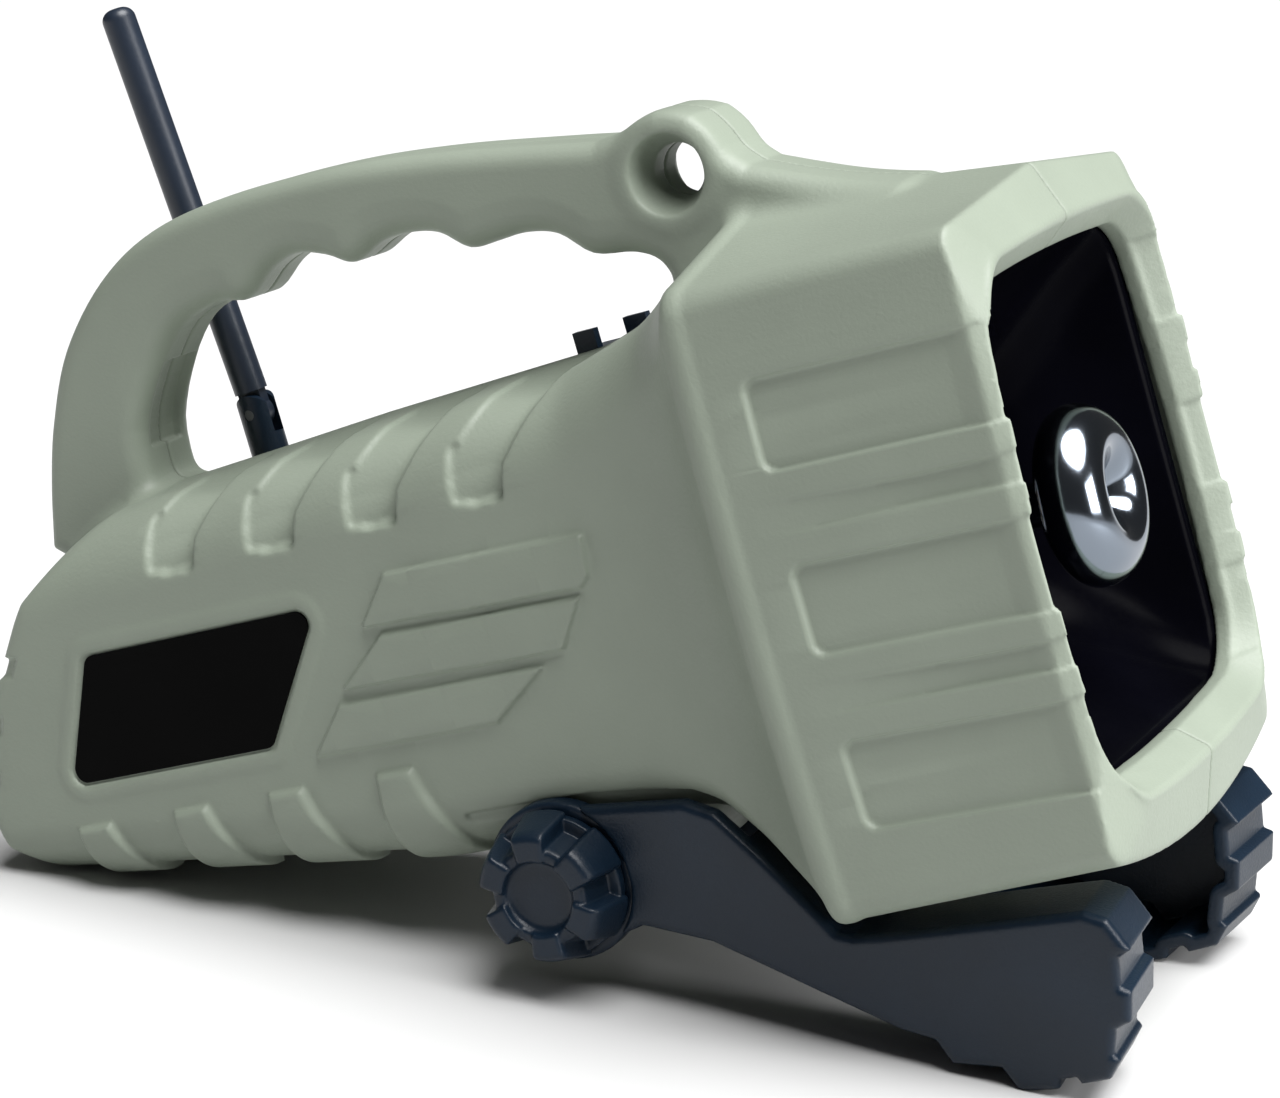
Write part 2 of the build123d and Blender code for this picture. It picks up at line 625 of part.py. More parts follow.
def battery_holder():
    rear, front, half_width, low, high = HOLDER
    box = Pos((rear + front) / 2, 0, (low + high) / 2) * Box(front - rear, 2 * half_width, high - low)
    for x0, x1 in cell_spans():
        for y, z in cell_spots():
            box -= rod(CELL_RADIUS + 0.25, x0 - 2.5, x1 + 2.5, y, z)
    box -= Pos((rear + front) / 2, 0, low) * Box(front - rear - 4, 2 * half_width - 9, 9)
    box -= Pos((rear + front) / 2, 0, high) * Box(front - rear - 4, 2 * half_width - 9, 9)
    return box


def cell_spans():
    middle = (HOLDER[0] + HOLDER[1]) / 2
    return ((middle - 2.6 - CELL_LENGTH, middle - 2.6), (middle + 2.6, middle + 2.6 + CELL_LENGTH))


def cell_spots():
    middle = (HOLDER[3] + HOLDER[4]) / 2
    steps = (-CELL_OFFSET, CELL_OFFSET)
    return [(y, middle + z) for y in steps for z in steps]


def cells():
    shapes = []
    for x0, x1 in cell_spans():
        for y, z in cell_spots():
            shapes.append(rod(CELL_RADIUS, x0, x1 - 1.2, y, z) + rod(2.7, x1 - 1.4, x1, y, z))
    return shapes


def contacts():
    """Plates and springs at the ends of each pair of cells."""
    shapes = []
    for x0, x1 in cell_spans():
        for y, z in cell_spots():
            for x, reach in ((x0, -1), (x1, 1)):
                plate = Pos(x + reach * 2.1, y, z) * Box(0.5, 9.0, 9.0)
                spring = rod(2.6, x + reach * 0.05, x + reach * 2.0, y, z) - rod(1.9, x - 3, x + 3, y, z)
                shapes.append(plate + spring)
    return shapes


def speaker_leads():
    """Two leads from the driver's tags to the front edge of the board."""
    leads = []
    for side in (-1, 1):
        heights = [(-97.0, 8.0), (-104.0, 8.0), (-110.0, 20.0), (-114.0, 27.8), (-121.8, 27.8)]
        path = FilletPolyline(*[(x, side * LEAD_SPREAD, z) for x, z in heights], radius=3.0)
        leads.append(sweep(Plane(origin=path @ 0, z_dir=path % 0) * Circle(LEAD_RADIUS), path=path))
    return leads


# ---- rear controls ------------------------------------------------------------------------------
VOLUME_SPOT = (-12.5, 0.0)               # places on the panel: to the left when seen from behind, and up
BUTTON_SPOT = (1.0, 0.0)
LAMP_SPOT = (7.5, 4.2)
PORT_SPOT = (14.0, 0.0)


def at_panel(spot, shape, height=0.0):
    """Put a shape, drawn about its own base, on the panel at a spot."""
    return panel_plane(-height).location * Pos(spot[0], spot[1], 0) * shape


def up(radius, start, end):
    """Cylinder along local Z from start to end."""
    return Pos(0, 0, (start + end) / 2) * Cylinder(radius, end - start)


def rear_panel():
    width, height, depth = PANEL_SIZE
    plate = panel_prism(width, height, 0.0, depth, 3.0)
    plate -= at_panel(VOLUME_SPOT, up(3.5, -4, 4))
    plate -= at_panel(BUTTON_SPOT, up(3.4, -4, 4))
    plate -= at_panel(LAMP_SPOT, up(1.2, -4, 4))
    plate -= at_panel(PORT_SPOT, up(4.5, -4, 4))
    return plate


def volume_control():
    body = up(6.3, -9.0, -2.0) + up(3.4, -2.0, 0.6)
    return at_panel(VOLUME_SPOT, body - up(1.55, -5, 4))


def volume_knob():
    grip = up(6.6, 0.9, 9.0)
    for index in range(12):
        angle = math.radians(30 * index)
        grip -= Pos(6.9 * math.cos(angle), 6.9 * math.sin(angle), 5.5) * Cylinder(0.8, 8.0)
    grip -= up(3.6, 0.0, 1.6)
    grip += up(1.5, -4.8, 1.8)
    return at_panel(VOLUME_SPOT, grip)


def push_button():
    return at_panel(BUTTON_SPOT, up(3.1, -2.4, 1.6) + up(4.2, -3.2, -2.2))


def button_switch():
    return at_panel(BUTTON_SPOT, Pos(0, 0, -6.5) * Box(6, 6, 4.2) + up(1.4, -4.5, -4.1))


def lamp():
    return at_panel(LAMP_SPOT, up(1.15, -4.0, 0.4))


def port():
    return at_panel(PORT_SPOT, up(4.4, -9.0, 0.3) - up(2.0, -7.0, 2.0))


def port_cover():
    cap = up(4.9, 0.6, 2.2) + up(1.5, -0.6, 1.0) + Pos(0, 6.0, 1.4) * Box(3.0, 4.0, 1.6)
    return at_panel(PORT_SPOT, cap)


# ---- labels, door, antenna ----------------------------------------------------------------------
def label(right):
    centre_x = sum(x for x, z in LABEL_OUTLINE) / 4
    centre_z = sum(z for x, z in LABEL_OUTLINE) / 4
    points = []
    for x, z in LABEL_OUTLINE:
        points.append((centre_x + (x - centre_x) * 0.985, centre_z + (z - centre_z) * 0.97))
    return on_side(points, -0.1, LABEL_DEPTH, right, 2.8)


def battery_door():
    rear, front, half_width = DOOR
    door = door_slab(rear, front, half_width, 0.1, DOOR_THICK)
    door += tube(DOOR_HINGE_X, hinge_height(), HINGE_RADIUS, -14.2, 14.2)
    door += door_slab(front - 1, DOOR_HINGE_X, 14.2, 0.6, 2.4)
    for step in range(4):
        x = rear + 6 + 2.4 * step
        door -= door_slab(x, x + 1.2, 9, -1, 0.7)
    return door - tube(DOOR_HINGE_X, hinge_height(), HINGE_PIN + RUNNING_FIT, -40, 40)


def door_pin():
    return tube(DOOR_HINGE_X, hinge_height(), HINGE_PIN, -18.9, 18.9)


def antenna_base():
    """Collar in the roof and a slotted post, as thin as the mast, that holds its pivot."""
    x, y, z = ANTENNA_PIVOT
    post = Pos(x, y, z) * Cylinder(FORK_RADIUS, 30)
    base = Pos(x, y, SEAT_BOTTOM + 1.75) * Cylinder(SEAT_RADIUS, 3.5)
    base += post & (Pos(x, y, (SEAT_BOTTOM + z) / 2) * Box(20, 20, z - SEAT_BOTTOM))
    base += post & tube(x, z, FORK_RADIUS, y - 6, y + 6)
    base -= Pos(x, y, z + 1.5) * Box(20, TONGUE + 2 * GAP, 13.0)
    return base - tube(x, z, PIVOT_PIN + 0.01, -60, 60)


def antenna_pin():
    x, y, z = ANTENNA_PIVOT
    return tube(x, z, PIVOT_PIN, y - 4.0, y + 4.0)


def antenna_mast():
    start = FORK_RADIUS + 2 * GAP
    mast = Pos(0, 0, (start + ANTENNA_LENGTH) / 2) * Cylinder(ANTENNA_RADIUS, ANTENNA_LENGTH - start)
    mast = fillet(mast.edges().group_by(Axis.Z)[-1], 2.6)
    mast += Pos(0, 0, 3.0) * Box(5.6, TONGUE, 6.0)
    mast += Rot(90, 0, 0) * Cylinder(3.3, TONGUE)
    mast -= Rot(90, 0, 0) * Cylinder(PIVOT_PIN + RUNNING_FIT, 20)
    return Pos(*ANTENNA_PIVOT) * Rot(0, -ANTENNA_LEAN, 0) * mast


def antenna_clip():
    """Cradle for the folded mast: a floor with one prong on each side, the left one further forward."""
    x, y, z = ANTENNA_PIVOT
    side = ANTENNA_RADIUS + GAP + PRONG / 2
    floor = z - ANTENNA_RADIUS - 0.4
    rear, front = CLIP_ENDS
    middle = (rear + front) / 2
    clip = Pos(middle, y, floor - 4.5) * Box(front - rear, 2 * side + PRONG, 9.0)
    clip += Pos((rear + middle) / 2 - 0.6, y - side, z - 6.5) * Box(middle - rear - 1.2, PRONG, 13.0)
    clip += Pos((front + middle) / 2 + 0.4, y + side, z - 6.5) * Box(front - middle - 0.8, PRONG, 13.0)
    return clip - body_skin()


# ---- legs ---------------------------------------------------------------------------------------
def leg(right):
    """One folding leg: a plate on the outside with a flange round it, open to the middle."""
    sign = -1 if right else 1
    hub_x, hub_z = LEG_AXIS
    outline = LEG_TOP + LEG_TREAD + LEG_BOTTOM + [(-121.8, -64.0), (-137.0, -48.6), (-121.8, -33.2)]
    face = make_face(Polyline(*outline, close=True))
    core = offset(face, amount=-LEG_WALL, kind=Kind.INTERSECTION)
    plate = extrude(Plane.XZ * face, amount=-LEG_WALL)
    flange = extrude(Plane.XZ * (face - core), amount=-LEG_WIDTH)
    flange &= Pos(0, 0, -80) * Box(154, 120, 140)
    step = extrude(Plane.XZ * (face - core), amount=-(HUB_OUTER - HUB_INNER))
    arm = plate + flange + step
    arm -= tube(hub_x, hub_z, HUB_RADIUS + 0.9, -40, 40)
    arm = Pos(hub_x, -HUB_OUTER, 0) * Rot(0, 0, -LEG_SPLAY) * Pos(-hub_x, 0, 0) * arm
    arm += tube(hub_x, hub_z, HUB_RADIUS + 1.0, -HUB_OUTER, -HUB_INNER) & arm_side()
    arm += tube(hub_x, hub_z, HUB_RADIUS, -HUB_OUTER, -HUB_INNER)
    arm -= tube(hub_x, hub_z, AXLE_RADIUS + RUNNING_FIT, -80, 80) + ground()
    return arm if right else mirror(arm, about=Plane.XZ)


def arm_side():
    """Quarter of the hub that looks towards the foot, where the arm joins it."""
    hub_x, hub_z = LEG_AXIS
    return Pos(hub_x + 10, -37, hub_z) * Box(24, 20, 30)


def knob(right):
    """Lobed clamp knob on the end of the axle."""
    depth = KNOB_OUTER - HUB_OUTER - GAP
    lobes = Circle(KNOB_CORE)
    for location in PolarLocations(LOBE_CIRCLE, KNOB_LOBES):
        lobes += location * Circle(LOBE_RADIUS)
    grip = extrude(lobes, amount=depth - 1.6, taper=7)
    shape = Cylinder(14.6, 2.4).moved(Location((0, 0, 1.2))) + Pos(0, 0, 1.6) * grip
    shape -= Pos(0, 0, depth) * Cylinder(7.6, 2 * KNOB_DISH)
    shape -= Cylinder(AXLE_RADIUS + RUNNING_FIT, 2 * (depth - KNOB_DISH - KNOB_FLOOR))
    shape = Rot(90, 0, 0) * shape
    shape = Pos(LEG_AXIS[0], -HUB_OUTER - GAP, LEG_AXIS[1]) * shape
    return shape if right else mirror(shape, about=Plane.XZ)


def axle():
    x, z = LEG_AXIS
    rod_end = KNOB_OUTER - KNOB_DISH - KNOB_FLOOR - RUNNING_FIT
    return tube(x, z, AXLE_RADIUS, -rod_end, rod_end)


def washers():
    x, z = LEG_AXIS
    shapes = []
    for sign in (-1, 1):
        ring = tube(x, z, WASHER_RADIUS, sign * BOSS_END, sign * (HUB_INNER - GAP))
        shapes.append(ring - tube(x, z, AXLE_RADIUS + 0.01, -60, 60))
    return shapes


# ---- write --------------------------------------------------------------------------------------
def build():
    shell = case()
    return {
        "right_case": case_half(shell, True),
        "left_case": case_half(shell, False),
        "case_screws": case_screws(),
        "horn_bell": horn_bell(),
        "phase_plug": phase_plug(),
        "driver_gasket": driver_gasket(),
        "driver_front": driver_front(),
        "driver_diaphragm": driver_diaphragm(),
        "driver_magnet": driver_magnet(),
        "driver_cap": driver_cap(),
        "driver_screws": bolts(BOLT_RADIUS, DRIVER_BACK, DRIVER_SEAT + 3),
        "main_board": main_board(),
        "board_parts": board_parts(),
        "board_posts": board_posts(),
        "battery_holder": battery_holder(),
        "battery_cells": cells(),
        "battery_contacts": contacts(),
        "speaker_leads": speaker_leads(),
        "rear_panel": rear_panel(),
        "volume_control": volume_control(),
        "volume_knob": volume_knob(),
        "push_button": push_button(),
        "button_switch": button_switch(),
        "lamp_lens": lamp(),
        "charge_port": port(),
        "port_cover": port_cover(),
        "right_label": label(True),
        "left_label": label(False),
        "battery_door": battery_door(),
        "door_hinge_pin": door_pin(),
        "antenna_base": antenna_base(),
        "antenna_pin": antenna_pin(),
        "antenna_mast": antenna_mast(),
        "antenna_clip": antenna_clip(),
        "right_leg": leg(True),
        "left_leg": leg(False),
        "right_knob": knob(True),
        "left_knob": knob(False),
        "leg_axle": axle(),
        "leg_washers": washers(),
    }


def solids_of(shape):
    """Every separate solid of a piece."""
    solids = []
    for item in shape if isinstance(shape, list) else [shape]:
        solids.extend(item.solids())
    return solids


def standing(pieces):
    """Tip the unit nose up and put its origin below the middle of its bounding box, on the ground."""
    tilt = Rot(0, -PITCH, 0)
    tipped = {name: [tilt * solid for solid in solids_of(shape)] for name, shape in pieces.items()}
    boxes = [solid.bounding_box() for solids in tipped.values() for solid in solids]
    middle_x = (min(box.min.X for box in boxes) + max(box.max.X for box in boxes)) / 2
    floor_z = min(box.min.Z for box in boxes)
    print("moved by", round(-middle_x, 4), round(-floor_z, 4))
    shift = Pos(-middle_x, 0, -floor_z)
    return {name: [shift * solid for solid in solids] for name, solids in tipped.items()}


def main():
    os.makedirs("parts", exist_ok=True)
    for name, solids in standing(build()).items():
        export_step(solids[0] if len(solids) == 1 else Compound(solids), f"parts/{name}.step")


main()
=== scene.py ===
"""Looks of the electronic game caller: moulded shells, folding legs, knobs, horn and plug.

Shapes are written in millimetres in a level frame (horn mouth towards +X, up +Z, right -Y), then
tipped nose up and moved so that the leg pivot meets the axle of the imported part.
"""
import math
import bpy
import numpy as np
from mathutils import Matrix, Vector


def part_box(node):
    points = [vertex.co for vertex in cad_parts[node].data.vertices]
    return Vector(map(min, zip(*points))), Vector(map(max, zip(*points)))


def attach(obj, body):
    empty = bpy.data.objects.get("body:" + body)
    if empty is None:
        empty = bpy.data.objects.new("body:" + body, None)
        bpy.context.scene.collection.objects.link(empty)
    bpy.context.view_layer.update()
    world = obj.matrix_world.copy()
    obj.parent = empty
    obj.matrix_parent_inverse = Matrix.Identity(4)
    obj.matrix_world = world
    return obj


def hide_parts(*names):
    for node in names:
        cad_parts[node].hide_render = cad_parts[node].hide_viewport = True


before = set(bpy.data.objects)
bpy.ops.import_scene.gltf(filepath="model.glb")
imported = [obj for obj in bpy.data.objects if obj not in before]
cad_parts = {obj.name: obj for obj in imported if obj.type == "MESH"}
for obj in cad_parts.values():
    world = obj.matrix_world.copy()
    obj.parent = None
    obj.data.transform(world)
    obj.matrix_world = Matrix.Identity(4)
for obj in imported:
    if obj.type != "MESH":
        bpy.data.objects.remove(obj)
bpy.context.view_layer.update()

# ---- the level frame ----------------------------------------------------------------------------
PITCH = math.radians(17.7)
PIVOT = (-121.8, -48.6)                  # leg pivot, x and z in the level frame
COS, SIN = math.cos(PITCH), math.sin(PITCH)
axle_low, axle_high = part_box("leg_axle")
AXLE = (axle_low + axle_high) / 2 * 1000
SHIFT_X = AXLE.x - (PIVOT[0] * COS - PIVOT[1] * SIN)
SHIFT_Z = AXLE.z - (PIVOT[0] * SIN + PIVOT[1] * COS)


def stand(points):
    """Level points in millimetres, moved to the standing frame in metres."""
    points = np.asarray(points, float).reshape(-1, 3)
    x = points[:, 0] * COS - points[:, 2] * SIN + SHIFT_X
    z = points[:, 0] * SIN + points[:, 2] * COS + SHIFT_Z
    return np.stack([x, points[:, 1], z], 1) / 1000


# ---- fields: distances that are negative inside -------------------------------------------------
def round_cut(a, b, r):
    """Inside both, with the edge between them rounded to r."""
    return np.minimum(np.maximum(a, b), -r) + np.hypot(np.maximum(a + r, 0), np.maximum(b + r, 0))


def soft_join(a, b, k):
    """Inside either, blended together over k."""
    h = np.maximum(k - np.abs(a - b), 0) / k
    return np.minimum(a, b) - h * h * k / 4


def ramp(value, width):
    """0 outside an outline, rising smoothly to 1 at width inside it."""
    t = np.clip(-value / width, 0, 1)
    return t * t * (3 - 2 * t)


def polygon(x, z, points):
    """Distance to a closed outline, negative inside."""
    best = np.full(np.broadcast(x, z).shape, 1e9, np.float32)
    inside = np.zeros(best.shape, bool)
    for (x0, z0), (x1, z1) in zip(points, points[1:] + points[:1]):
        ex, ez = x1 - x0, z1 - z0
        t = np.clip(((x - x0) * ex + (z - z0) * ez) / (ex * ex + ez * ez), 0, 1)
        dx, dz = x - x0 - t * ex, z - z0 - t * ez
        best = np.minimum(best, dx * dx + dz * dz)
        if z0 != z1:
            inside ^= ((z0 > z) != (z1 > z)) & (x < ex * (z - z0) / ez + x0)
    return (np.sqrt(best) * np.where(inside, -1, 1)).astype(np.float32)


def line(x, z, points):
    """Distance to an open line of points."""
    best = None
    for (x0, z0), (x1, z1) in zip(points[:-1], points[1:]):
        ex, ez = x1 - x0, z1 - z0
        t = np.clip(((x - x0) * ex + (z - z0) * ez) / (ex * ex + ez * ez), 0, 1)
        d = np.hypot(x - x0 - t * ex, z - z0 - t * ez)
        best = d if best is None else np.minimum(best, d)
    return best


def curve(points, steps=6):
    """Smooth open curve through points."""
    p = [np.array(q, float) for q in points]
    p = [2 * p[0] - p[1]] + p + [2 * p[-1] - p[-2]]
    out = []
    for a, b, c, d in zip(p[:-3], p[1:-2], p[2:-1], p[3:]):
        for step in range(steps):
            t = step / steps
            q = 0.5 * (2 * b + (c - a) * t + (2 * a - 5 * b + 4 * c - d) * t * t
                       + (3 * b - a - 3 * c + d) * t ** 3)
            out.append((float(q[0]), float(q[1])))
    return out + [tuple(map(float, p[-2]))]


class Grid:
    """Sample points of a box at an even step, as three arrays that broadcast to a volume."""

    def __init__(self, low, high, step):
        self.low = np.array(low, float)
        self.step = step
        n = [int(math.ceil((b - a) / step)) + 1 for a, b in zip(low, high)]
        x, y, z = [(a + step * np.arange(k)).astype(np.float32) for a, k in zip(low, n)]
        self.x, self.y, self.z = x[:, None, None], y[None, :, None], z[None, None, :]


CORNERS = [(i, j, k) for i in (0, 1) for j in (0, 1) for k in (0, 1)]
EDGES = [(a, b) for a in range(8) for b in range(a + 1, 8)
         if sum(abs(p - q) for p, q in zip(CORNERS[a], CORNERS[b])) == 1]


def surface(grid, field):
    """Mesh of the zero surface: one vertex in each crossed cell, moved onto the surface."""
    field = np.ascontiguousarray(field, np.float32)
    inside = field < 0
    cells = tuple(n - 1 for n in field.shape)
    count = np.zeros(cells, np.int8)
    for i, j, k in CORNERS:
        count += inside[i:i + cells[0], j:j + cells[1], k:k + cells[2]]
    active = np.argwhere((count > 0) & (count < 8))
    index = np.full(cells, -1, np.int32)
    index[tuple(active.T)] = np.arange(len(active))
    value = np.stack([field[tuple((active + c).T)] for c in CORNERS], 1).astype(float)
    total = np.zeros((len(active), 3))
    number = np.zeros(len(active))
    for a, b in EDGES:
        crossed = (value[:, a] < 0) != (value[:, b] < 0)
        t = np.where(crossed, value[:, a] / np.where(crossed, value[:, a] - value[:, b], 1), 0)
        p = np.array(CORNERS[a]) + t[:, None] * (np.array(CORNERS[b]) - np.array(CORNERS[a]))
        total += p * crossed[:, None]
        number += crossed
    local = total / number[:, None]
    for again in range(3):
        u, v, w = local[:, 0], local[:, 1], local[:, 2]
        f = np.zeros(len(u))
        g = np.zeros((len(u), 3))
        for m, (i, j, k) in enumerate(CORNERS):
            a, b, c = (u if i else 1 - u), (v if j else 1 - v), (w if k else 1 - w)
            f += value[:, m] * a * b * c
            g[:, 0] += value[:, m] * (1 if i else -1) * b * c
            g[:, 1] += value[:, m] * (1 if j else -1) * a * c
            g[:, 2] += value[:, m] * (1 if k else -1) * a * b
        move = f[:, None] * g / np.maximum((g * g).sum(1), 1e-9)[:, None]
        local = np.clip(local - np.clip(move, -0.35, 0.35), 0.02, 0.98)
    vertices = grid.low + (active + local) * grid.step
    faces = []
    for axis in range(3):
        a, b = [(1, 2), (2, 0), (0, 1)][axis]
        first = [slice(0, n) for n in inside.shape]
        second = list(first)
        first[axis], second[axis] = slice(0, -1), slice(1, None)
        start, end = inside[tuple(first)], inside[tuple(second)]
        at = np.argwhere(start != end)
        at = at[(at[:, a] > 0) & (at[:, b] > 0) & (at[:, a] < cells[a]) & (at[:, b] < cells[b])]
        flip = end[tuple(at.T)]
        corner = []
        for da, db in ((-1, -1), (0, -1), (0, 0), (-1, 0)):
            cell = at.copy()
            cell[:, a] += da
            cell[:, b] += db
            corner.append(index[tuple(cell.T)])
        quad = np.stack(corner, 1)
        quad[flip] = quad[flip][:, ::-1]
        faces.append(quad)
    return vertices, np.concatenate(faces)


# ---- meshes -------------------------------------------------------------------------------------
SHELL_TRIANGLES = 196000                 # at most, for each half of the case
LEG_TRIANGLES = 150000


def mesh_object(name, vertices, faces, smooth=True):
    """Object from level points and quads (an array) or polygons of any length (a list)."""
    mesh = bpy.data.meshes.new(name)
    points = stand(vertices)
    if isinstance(faces, np.ndarray):
        mesh.vertices.add(len(points))
        mesh.vertices.foreach_set("co", points.astype(np.float32).ravel())
        mesh.loops.add(faces.size)
        mesh.loops.foreach_set("vertex_index", faces.astype(np.int32).ravel())
        mesh.polygons.add(len(faces))
        starts = np.arange(0, faces.size, faces.shape[1], dtype=np.int32)
        mesh.polygons.foreach_set("loop_start", starts)
        mesh.update(calc_edges=True)
    else:
        mesh.from_pydata([tuple(p) for p in points], [], faces)
    mesh.validate()
    mesh.shade_smooth() if smooth else mesh.shade_flat()
    thing = bpy.data.objects.new(name, mesh)
    bpy.context.scene.collection.objects.link(thing)
    return thing


def thin_out(thing, limit):
    """Fewer triangles where the surface is flat, down to limit."""
    triangles = sum(len(p.vertices) - 2 for p in thing.data.polygons)
    if triangles <= limit:
        return
    modifier = thing.modifiers.new("thin", "DECIMATE")
    modifier.ratio = limit / triangles
    depsgraph = bpy.context.evaluated_depsgraph_get()
    mesh = bpy.data.meshes.new_from_object(thing.evaluated_get(depsgraph))
    thing.modifiers.clear()
    thing.data = mesh
    mesh.shade_smooth()


def mirrored(vertices, faces):
    """The same surface on the other side of the middle plane."""
    out = vertices.copy()
    out[:, 1] *= -1
    return out, faces[:, ::-1]


# ---- the case -----------------------------------------------------------------------------------
WALL = 2.6                               # of the horn's sides
BODY_WALL = 4.8
BODY_FRONT = -55.0                       # the body's hull stops here, inside the horn's
HORN_REAR = -58.5
PARTITION = -55.5                        # the horn's hollow is ahead of this, the body's behind it
LIP_FRONT = 4.4
LIP_REAR = -5.0                          # the horn's hollow ends behind the lip
MOUTH_HALF_WIDTH, MOUTH_HALF_HEIGHT, MOUTH_BOW = 45.5, 48.5, 4.6
BEVEL_START = -1.5                       # the mouth widens ahead of this
BEVEL_SLOPE, BEVEL_STRETCH = 0.789, 1.27
DRIVER_HOLE = 26.0                       # radius of the opening in the partition
HANDLE_HALF = 11.5
HANDLE_ROUND = 4.6
BOSS_END = 33.2                          # outer face of the leg bosses
BOSS_RADIUS = 13.0
AXLE_RADIUS = 3.0
LUG = (-69.5, 81.5)
LUG_RADIUS, LUG_HALF = 12.0, 11.0
EYE_RADIUS = 5.5
FUNNEL_SLOPE = 0.42
GROOVE_HALF, GROOVE_DEPTH = 6.6, 3.3
PAD_HEIGHT = 1.9
BAR_HEIGHT = 1.4
LABEL_ROUND = 3.0                        # corner radius of the label's recess
LABEL_DEPTH = 1.2
NOTCHES = (17.0, 5.0, -7.0)              # heights of the small notches at the rear corners
NOTCH_HALF, NOTCH_DEPTH = 2.4, 1.1
PANEL_HALF, PANEL_DEPTH = 9.0, 1.35
CHANNEL_HALF, CHANNEL_DEPTH = 3.0, 1.25
# x, half width, side top, ridge, side bottom, keel, bow, top radius, bottom radius
HORN = [(-70, 52.5, 60.3, 74.3, -63.5, -66.1, 3, 4, 4), (0, 52.5, 60.3, 65.2, -60.2, -67, 3, 4, 4)]
RIM = (4.4, 49, 51.9, 54.3, -50.5, -54.1, 4.6, 8, 11)
BODY = [(-50, 62.6, 64.5, 82, -82, -89, 5, 4, 4), (-60, 52, 60, 71, -62, -65.4, 3, 5, 5),
        (-66, 46, 57.5, 66, -57.6, -54.5, 1, 9, 5), (-75, 41, 54, 58.5, -46.8, -43.6, .4, 13, 5),
        (-83, 39.4, 51.6, 55.4, -40.6, -40.4, .3, 15, 9),
        (-98, 37, 48, 51, -40.5, -41, .2, 17, 13), (-153, 34.7, 46, 48.7, -41, -41.4, .2, 17, 13),
        (-231, 31.4, 41.5, 43.7, -33, -33.4, .2, 16, 13),
        (-268, 29.8, 39, 41, -29.2, -29.6, .2, 16, 13)]
REAR = [(20, 90), (-215, 90), (-217, 45), (-225, 39.5), (-239, 30), (-254.5, 10), (-263.5, -11),
        (-263, -23), (-252, -35), (-245, -90), (20, -90)]
PADS = [-235.0, -208.5, -183.0, -155.0]
GROOVES = [-197.0, -170.5, -144.5, -118.5]
PANELS = [33.5, -2.0, -36.5]
CHANNELS = [16.0, -19.0]
LABEL = [(-224.6, 16.3), (-162.2, 16.3), (-183.2, -11.6), (-238.4, -11.6)]
BARS = [[(-143.3, 19.8), (-95.6, 19.2), (-96.5, 11.0), (-99.0, 8.9), (-152.0, 10.0)],
        [(-148.2, 7.6), (-100.4, 6.9), (-107.0, -2.5), (-161.0, -1.9)],
        [(-163.0, -4.9), (-113.0, -5.3), (-127.0, -14.6), (-172.5, -14.6)]]
HANDLE = [(-241, 38), (-236.5, 52), (-231, 65), (-222, 79.5), (-208, 91.8), (-192, 98.9),
          (-171.3, 101.5), (-145.7, 101.1), (-121.8, 98.4), (-96.7, 93.9), (-84, 91.4)]
LUG_EDGE = [(-77, 92.0), (-69.5, 93.5), (-62.0, 91.0), (-57.5, 83.5), (-53.0, 79.0), (-47.0, 76.4),
            (-34.0, 71.0), (-24.0, 67.0), (-24, 55), (-60, 30), (-225, 25)]
OPENING = [(-210, 42), (-210, 45), (-208.5, 58), (-201, 69.5), (-192, 78), (-181.5, 80.5),
           (-174.0, 79.6), (-166.5, 84.3), (-159.5, 86.0), (-152.5, 84.0), (-146.5, 81.0),
           (-139, 83.6), (-132, 83.9), (-125, 82.2), (-119.0, 77.6), (-112.5, 77.6), (-105.5, 77.6),
           (-98.5, 75.6), (-92.0, 70.0), (-83.0, 68.2), (-77.5, 65.0), (-75.5, 59.0), (-78.0, 53.0),
           (-88, 42)]
WELL = [(-142, -32.4), (-112, -32.4), (-88, -35.2), (-81.2, -38.6), (-73.2, -48.9),
        (-65.2, -59.1), (-61.5, -63.4), (-61.5, -90), (-142, -90)]
SCREWS = [(-52.0, 51.0, 51.4), (-52.0, -48.0, 51.4), (-108.0, 38.0, 34.6), (-112.0, -24.0, 35.4),
          (-237.0, 14.0, 30.0), (-247.0, -16.0, 29.5), (-222.0, 62.0, 10.0), (-88.0, 82.0, 10.0)]
SCREW_POCKET = 3.0                       # radius; SCREWS holds x, z and y of the outer end
MAST = (-199.0, 22.0)                    # x and y of the antenna's foot
CLIP_X = -107.7
DOOR = (-225.0, -150.6, 19.0)            # rear, front, half width
DOOR_LINE = ((-231, -33.4), (-153, -41.4))       # x and z of the underside behind and ahead of it
HINGE_RADIUS = 1.7
CONTROLS = (-258.6, 0.4, math.radians(23.2))     # x, z and tilt of the rear panel's middle


def along(x, stations, column, blur):
    """A station value at each x, softened over blur."""
    xs = [s[0] for s in stations]
    values = [s[column] for s in stations]
    order = np.argsort(xs)
    xs, values = np.array(xs, float)[order], np.array(values, float)[order]
    flat = x.ravel()
    total, weight = 0, 0
    for step in np.linspace(-2, 2, 9):
        w = math.exp(-step * step / 2)
        total = total + w * np.interp(flat + step * blur, xs, values)
        weight += w
    return (total / weight).reshape(x.shape).astype(np.float32)


